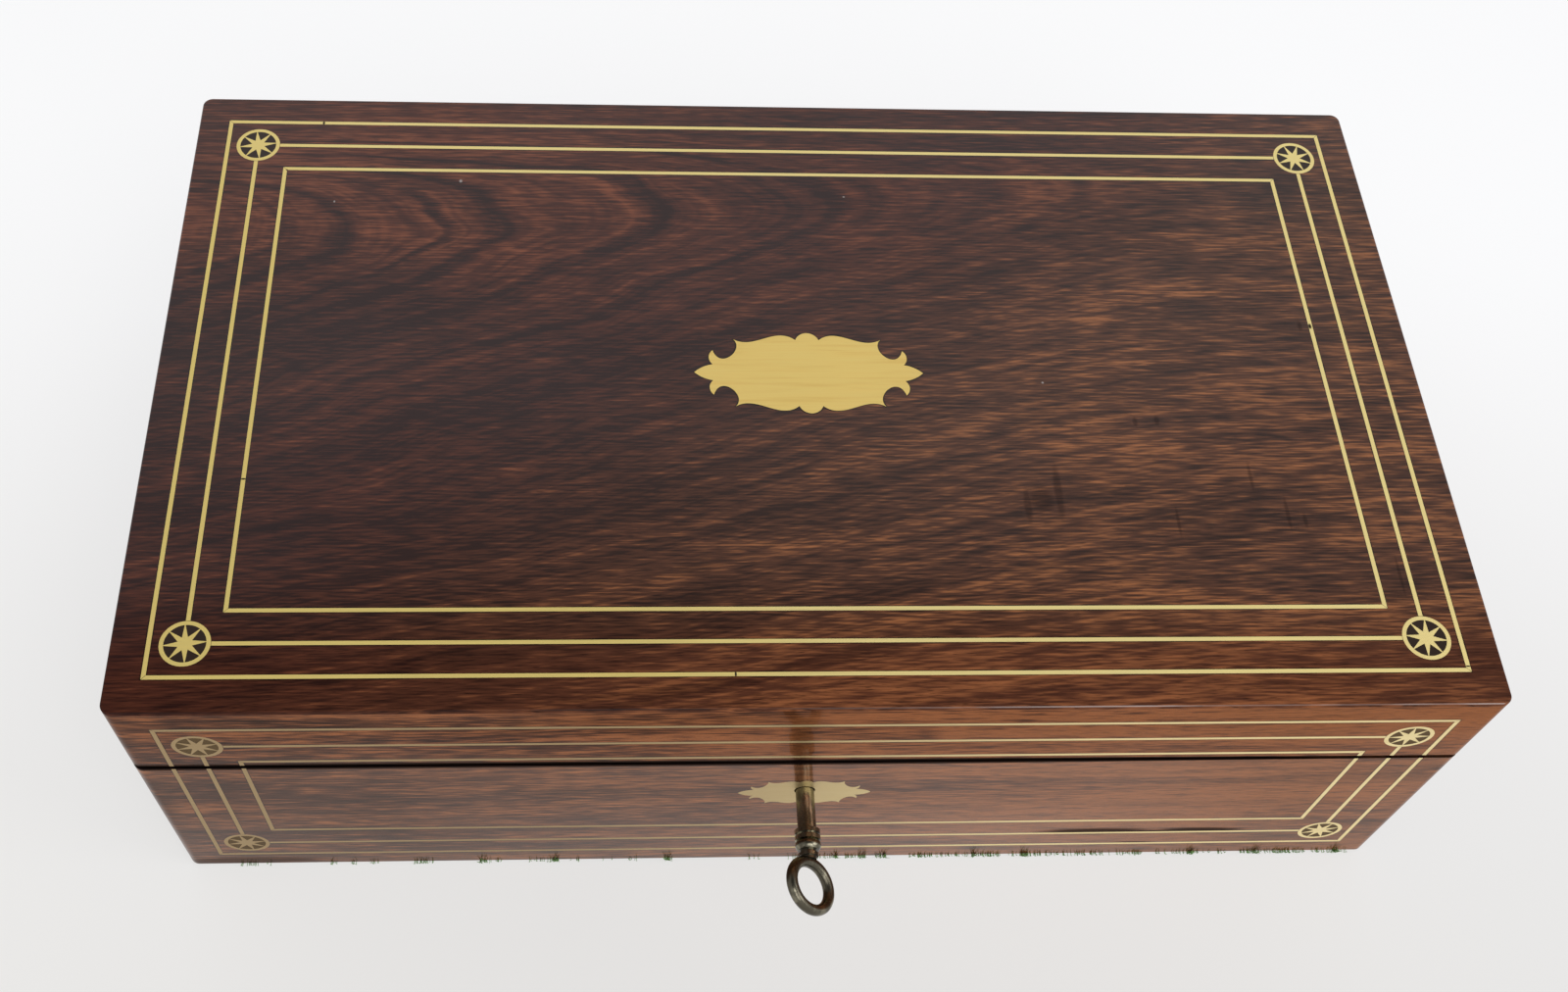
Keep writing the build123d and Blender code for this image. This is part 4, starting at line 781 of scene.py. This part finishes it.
# The front's brass is painted darker towards the left: painted shade.
dress(
    brass(
        "front_brass", (1.0, 0.84, 0.44, 1), (0.375, 0.255, 0.12, 1), rough=(0.36, 0.5), tarnish=0.2,
        dark_slant=(-195.0, 20.0),
    ),
    "escutcheon", "lid_front_stringing", "lid_front_roundels", "base_front_stringing",
    "base_front_roundels",
)
dress(
    brass("fitting_brass", (0.72, 0.52, 0.22, 1), (0.4, 0.27, 0.11, 1), rough=(0.28, 0.48), tarnish=0.9),
    "base_hinge_leaves", "lid_hinge_leaves", "hinge_pins", "base_rail_leaves", "lid_rail_leaves",
    "base_flap_leaves", "lid_flap_leaves", "base_flap_pins", "lid_flap_pins", "base_flap_screws",
    "lid_flap_screws", "base_screws", "lid_screws", "link_plate", "lock_plate", "lid_flap_clips",
    "inkwell_caps",
)

# %% [markdown]
# The key is steel that hands have bronzed: dark brown in the hollows, lighter and yellower where it is
# rubbed. The lock's own steel is only filed and oiled. In both, one noise sets colour and roughness
# together.

# %% Key and lock steel
key_finish, tree, surface = new_material("key_bronzed_steel", {"Metallic": 1.0})
place = millimetres(tree)
patina = mottle(tree, place, (3.5, 7.0, 3.5), 4, 31)
along_key = split(tree, place)[1]
near_lock = rise(tree, along_key, -134.0, -118.0, 0.0, 0.6)
rubbed = reckon(tree, "MULTIPLY", near_lock, rise(tree, patina, 0.3, 0.6))
handled = rise(tree, along_key, -150.0, -126.0, 0.5, 1.0)
handled = reckon(tree, "MULTIPLY", rise(tree, patina, 0.45, 0.72), handled)
rubbed = reckon(tree, "MAXIMUM", handled, rubbed)
paint(tree, surface, rubbed, (0.092, 0.082, 0.06, 1), (0.42, 0.39, 0.28, 1))
roughen(tree, surface, patina, 0.3, 0.7, 0.34, 0.16)
bump(tree, surface, mottle(tree, place, (0.8, 1.6, 0.8), 3, 32), 0.00004)
dress(key_finish, "key")

lock_finish, tree, surface = new_material("lock_filed_steel", {"Metallic": 1.0})
filing = mottle(tree, millimetres(tree), (12, 4, 0.2), 3, 33)
paint(tree, surface, filing, (0.2, 0.19, 0.18, 1), (0.5, 0.48, 0.45, 1))
roughen(tree, surface, filing, 0.3, 0.7, 0.3, 0.5)
dress(lock_finish, "lock_bolt", "lock_case", "lock_pins", "lock_spring")

# %% [markdown]
# The inkwells are thick pressed glass, so they keep a plain glass shader, with a slight grey-green tint and
# a dried ink film towards the bottom. The film is a noise that fades with height, so it needs no shape of
# its own.

# %% Inkwell glass
glass_finish, tree, surface = new_material("inkwell_glass", {"Transmission Weight": 1.0, "IOR": 1.5})
place = millimetres(tree)
low_down = rise(tree, split(tree, place)[2], 30.0, 15.0)
film = reckon(tree, "MULTIPLY", low_down, mottle(tree, place, (9, 9, 6), 3, 41))
paint(tree, surface, film, (0.93, 0.97, 0.95, 1), (0.08, 0.08, 0.14, 1))
roughen(tree, surface, film, 0.0, 0.6, 0.03, 0.3)
dress(glass_finish, "inkwell_bottles")

# %% [markdown]
# Baize and leather are sheets, so each is a fine grid in the place of its CAD slab: the seen face follows
# the slope of its bed and is a little uneven, the grid is extruded to the sheet's thickness, and its rims
# are bevelled. A cloth simulation would change nothing, because all three are glued down flat.

# %% Sheets
SEAM_SLOPE = 0.092038
FACE_UP, FACE_DOWN = 1, -1
COCKLE_SCALE, FRAY_SCALE = 40, 300
SHARP = radians(50)


def new_piece(name, shape, finish, body):
    """Makes a piece of a bmesh that rides on a body and takes its finish from a slot."""
    for face in shape.faces:
        face.smooth = True
    mesh = bpy.data.meshes.new(name)
    shape.to_mesh(mesh)
    shape.free()
    mesh.materials.append(finish)
    piece = bpy.data.objects.new(name, mesh)
    scene.collection.objects.link(piece)
    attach(piece, body)
    print(name, len(mesh.polygons), "faces")
    return piece


def round_rims(shape, offset):
    """Bevels the sharp edges of a sheet."""
    rims = [edge for edge in shape.edges if edge.calc_face_angle(0.0) > SHARP]
    bmesh.ops.bevel(
        shape, geom=rims, offset=offset, segments=2, profile=0.5, affect="EDGES", material=-1,
        clamp_overlap=True,
    )


def sheet_shape(node, slope, facing, columns, rows, cockle, fray):
    """A thin sheet in a CAD node's place, with its seen face up or down."""
    low, high = (Vector(corner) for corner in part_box(node))
    span = high - low
    thickness = span.z - slope * span.y
    shape = bmesh.new()
    bmesh.ops.create_grid(shape, x_segments=columns, y_segments=rows, size=0.5)
    for vertex in shape.verts:
        x = low.x + (vertex.co.x + 0.5) * span.x
        y = low.y + (vertex.co.y + 0.5) * span.y
        level = high.z - slope * (y - low.y) if facing == FACE_UP else low.z + slope * (high.y - y)
        dip = cockle * (0.5 + 0.5 * noise.noise((COCKLE_SCALE * x, COCKLE_SCALE * y, 0.0)))
        if vertex.is_boundary:
            x += fray * noise.noise((FRAY_SCALE * x, FRAY_SCALE * y, 1.0))
            y += fray * noise.noise((FRAY_SCALE * x, FRAY_SCALE * y, 2.0))
        vertex.co = (x, y, level - facing * dip)
    pulled = bmesh.ops.extrude_face_region(shape, geom=shape.faces[:])["geom"]
    inner = [item for item in pulled if isinstance(item, bmesh.types.BMVert)]
    bmesh.ops.translate(shape, verts=inner, vec=(0.0, 0.0, -facing * (thickness - cockle)))
    bmesh.ops.recalc_face_normals(shape, faces=shape.faces)
    round_rims(shape, 0.25 * thickness)
    return shape


# %% [markdown]
# Baize is a woven wool cloth whose raised nap hides the weave. Its colour is mottled at two scales, and a
# sheen stands for the nap. Hair all over would be truer, but heavy, and the sheet only shows when the box
# is turned over.

# %% Baize under the base
baize_finish, tree, surface = new_material("green_baize", {"Roughness": 0.95, "Sheen Weight": 0.35})
place = millimetres(tree)
nap = mottle(tree, place, (0.5, 0.5, 0.5), 3, 51)
worn = mottle(tree, place, (30, 24, 24), 3, 52)
shade = reckon(tree, "MULTIPLY_ADD", nap, 0.7, reckon(tree, "MULTIPLY_ADD", worn, 0.6, -0.15))
paint(tree, surface, shade, (0.025, 0.085, 0.02, 1), (0.11, 0.27, 0.07, 1))
bump(tree, surface, nap, 0.0003)
shape = sheet_shape(
    "bottom_baize", slope=0.0, facing=FACE_DOWN, columns=200, rows=116, cockle=0.00008, fray=0.0005,
)
baize = new_piece("baize_sheet", shape, baize_finish, "base")
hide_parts("bottom_baize")

# %% [markdown]
# The nap frays out at the foot, and tufts of it stick out along the front, most of all to the right of the
# key. The back has none, because the open lid lies against it. Each fibre is two thin three-sided cones:
# one runs out from under the case, and one turns up from its end. Hair particles would do it too, but cones
# are plain mesh, and with three sides each they stay light.

# %% Fraying along the foot
random.seed(7)
TUFTS = (-0.103, -0.079, -0.041, 0.016, 0.025, 0.032, 0.064, 0.081, 0.139, 0.162, 0.19)
SPRIGS_AT_RIGHT, SPRIGS_AROUND = 70, 75
ROOT_HEIGHT = 0.0004
LEAN = 0.3
FORWARD, LEFT, RIGHT = Vector((0, -1, 0)), Vector((-1, 0, 0)), Vector((1, 0, 0))
fuzz = bmesh.new()


def strand(start, end, start_radius, end_radius):
    """A three-sided cone between two points."""
    along = end - start
    turn = along.to_track_quat("Z", "Y")
    bmesh.ops.create_cone(
        fuzz, cap_ends=True, segments=3, radius1=start_radius, radius2=end_radius, depth=along.length,
        matrix=Matrix.LocRotScale((start + end) / 2, turn, None),
    )


def tuft(root_x, root_y, outward, count, spread, longest):
    """A few fibres that come out from under the case at one place."""
    root = Vector((root_x, root_y, ROOT_HEIGHT))
    beside = Vector((-outward.y, outward.x, 0.0))
    for _ in range(count):
        start = root + beside * random.uniform(-spread, spread)
        knee = start + outward * random.uniform(0.0012, 0.0019) + beside * random.uniform(-0.0004, 0.0004)
        tip = knee + outward * random.uniform(0.0, LEAN) * longest
        tip += beside * random.uniform(-LEAN, LEAN) * longest
        tip.z += random.uniform(0.3, 1.0) * longest
        radius = random.uniform(0.00008, 0.00014)
        strand(start, knee, radius, radius)
        strand(knee, tip, radius, 0.3 * radius)


low, high = (Vector(corner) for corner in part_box("bottom_baize"))
for x in TUFTS:
    tuft(x, low.y, FORWARD, count=16, spread=0.0012, longest=0.0042)
for _ in range(SPRIGS_AT_RIGHT):
    tuft(random.uniform(0.0, 0.196), low.y, FORWARD, count=5, spread=0.002, longest=0.0016)
for _ in range(SPRIGS_AROUND):
    share = random.uniform(0.02, 0.98)
    x = low.x + share * (high.x - low.x)
    y = low.y + share * (high.y - low.y)
    root_x, root_y, outward = random.choice(((x, low.y, FORWARD), (low.x, y, LEFT), (high.x, y, RIGHT)))
    tuft(root_x, root_y, outward, count=random.randint(2, 6), spread=0.002, longest=0.002)
# The fibres are painted a lighter green than the baize they come from: painted light, so that they do not go
# dark in their own shade.
fuzz_finish, tree, surface = new_material("baize_fuzz", {"Roughness": 0.95})
nap = mottle(tree, millimetres(tree), (2, 2, 2), 1, 53)
paint(tree, surface, nap, (0.08, 0.22, 0.045, 1), (0.3, 0.52, 0.17, 1))
fringe = new_piece("baize_fringe", fuzz, fuzz_finish, "base")

# %% [markdown]
# The writing surfaces are goat skin, dyed green and rubbed browner in places, with a gilt line and a thin
# one inside it. The lines are the rectangle group again, and where the mask is on, the leather turns to
# gold.

# %% Writing leathers
FLAPS = {"base": FACE_UP, "lid": FACE_DOWN}
GREEN = (0.012, 0.034, 0.02, 1)
RUBBED_GREEN = (0.05, 0.062, 0.028, 1)
HOLLOW_GREEN = (0.005, 0.012, 0.008, 1)
GOLD = (0.75, 0.5, 0.17, 1)
GILT_LINES = ((5.0, 0.6), (8.0, 0.25))


def leather(name, half_length, half_breadth, middle):
    """Grained green leather with two gilt lines round its edge."""
    material, tree, surface = new_material(name, {})
    place = millimetres(tree)
    skin_grain = mottle(tree, place, (0.9, 0.9, 0.9), 3, 61)
    rubbed = mottle(tree, place, (70, 50, 50), 3, 62)
    colour = blend(tree, rise(tree, rubbed, 0.3, 0.75), GREEN, RUBBED_GREEN)
    colour = blend(tree, rise(tree, skin_grain, 0.3, 0.5, 0.5, 0.0), colour, HOLLOW_GREEN)
    gilt = 0.0
    for inset, half_line in GILT_LINES:
        apart = from_rectangle(tree, place, half_length - inset, half_breadth - inset, middle)
        gilt = reckon(tree, "MAXIMUM", gilt, rise(tree, apart, half_line, half_line + 0.1, 1.0, 0.0))
    gilt = reckon(tree, "MULTIPLY", gilt, rise(tree, mottle(tree, place, (6, 6, 6), 3, 63), 0.3, 0.45))
    paint(tree, surface, gilt, colour, GOLD)
    wire(tree, gilt, surface.inputs["Metallic"])
    roughen(tree, surface, skin_grain, 0.3, 0.7, 0.62, 0.42)
    bump(tree, surface, skin_grain, 0.0002)
    return material


for half, facing in FLAPS.items():
    low, high = (Vector(corner) * 1000 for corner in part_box(f"{half}_flap_leather"))
    span = high - low
    finish = leather(f"{half}_leather", span.x / 2, span.y / 2, (low.y + high.y) / 2)
    shape = sheet_shape(
        f"{half}_flap_leather", SEAM_SLOPE, facing, columns=88, rows=36, cockle=0.00006, fray=0.0,
    )
    skin = new_piece(f"{half}_writing_leather", shape, finish, f"{half}_flap")
    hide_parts(f"{half}_flap_leather")

# %% [markdown]
# Each flap is lifted by a leather tongue. The outline is right in the CAD solid, so a copy of that mesh is
# cleaned of its inner edges, and its rims are rounded as cut leather is.

# %% Pull tabs
SAME_PLACE = 0.000001
TAB_ROUNDING = 0.00022

tab_finish, tree, surface = new_material("tab_leather", {"Roughness": 0.55})
hide = mottle(tree, millimetres(tree), (0.7, 0.7, 0.7), 3, 64)
paint(tree, surface, hide, (0.035, 0.012, 0.006, 1), (0.13, 0.05, 0.022, 1))
bump(tree, surface, hide, 0.0002)
for half in FLAPS:
    shape = bmesh.new()
    shape.from_mesh(nodes[f"{half}_flap_tab"].data)
    bmesh.ops.remove_doubles(shape, verts=shape.verts, dist=SAME_PLACE)
    bmesh.ops.dissolve_limit(shape, angle_limit=radians(2), verts=shape.verts, edges=shape.edges)
    round_rims(shape, TAB_ROUNDING)
    tongue = new_piece(f"{half}_pull_tab", shape, tab_finish, f"{half}_flap")
    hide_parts(f"{half}_flap_tab")

# %% [markdown]
# The bed of the cartouche is cut by hand. A dark strip round the plate is painted shade in the joint,
# wider here and thinner there. It starts from the plate's own outline: the rim of its top face is
# extruded, and the new points are pushed outwards by an uneven amount. The strip then gets a hundredth
# of a millimetre of thickness, which closes it, and is lifted by as much, clear of the wood.

# %% Painted shade round the cartouche
SHADE_STRIP_WIDTH = 0.0003
SHADE_STRIP_DEPTH = 0.00001
SHADE_STRIP_SCALE = 120
FLUSH = 0.00001

shade_strip = bmesh.new()
shade_strip.from_mesh(nodes["cartouche"].data)
bmesh.ops.remove_doubles(shade_strip, verts=shade_strip.verts, dist=SAME_PLACE)
top = max(vertex.co.z for vertex in shade_strip.verts)
sunk = [face for face in shade_strip.faces if min(vertex.co.z for vertex in face.verts) < top - FLUSH]
bmesh.ops.delete(shade_strip, geom=sunk, context="FACES")
plate = shade_strip.faces[:]
rim = [edge for edge in shade_strip.edges if edge.is_boundary]
outwards = {}
for edge in rim:
    start, end = edge.verts
    side = (end.co - start.co).cross(Vector((0, 0, 1))).normalized()
    if side.dot(edge.link_faces[0].calc_center_median() - start.co) > 0:
        side.negate()
    for vertex in edge.verts:
        outwards[vertex.co.to_tuple(7)] = outwards.get(vertex.co.to_tuple(7), Vector()) + side
grown = bmesh.ops.extrude_edge_only(shade_strip, edges=rim)["geom"]
for vertex in (item for item in grown if isinstance(item, bmesh.types.BMVert)):
    width = SHADE_STRIP_WIDTH + SHADE_STRIP_WIDTH * noise.noise(vertex.co * SHADE_STRIP_SCALE)
    vertex.co += outwards[vertex.co.to_tuple(7)].normalized() * width
bmesh.ops.delete(shade_strip, geom=plate, context="FACES")
bmesh.ops.solidify(shade_strip, geom=shade_strip.faces, thickness=SHADE_STRIP_DEPTH)
lift = top + SHADE_STRIP_DEPTH - min(vertex.co.z for vertex in shade_strip.verts)
bmesh.ops.translate(shade_strip, verts=shade_strip.verts, vec=(0.0, 0.0, lift))
bmesh.ops.recalc_face_normals(shade_strip, faces=shade_strip.faces)
# A near-black finish for the strip: painted shade in the joint round the plate.
shade_strip_finish, tree, surface = new_material("painted_shade_strip", {"Roughness": 0.5, "Specular IOR Level": 0.2})
strip_mottle = mottle(tree, millimetres(tree), (2, 2, 2), 2, 65)
paint(tree, surface, strip_mottle, (0.008, 0.006, 0.005, 1), (0.03, 0.02, 0.015, 1))
new_piece("cartouche_shade_strip", shade_strip, shade_strip_finish, "lid")
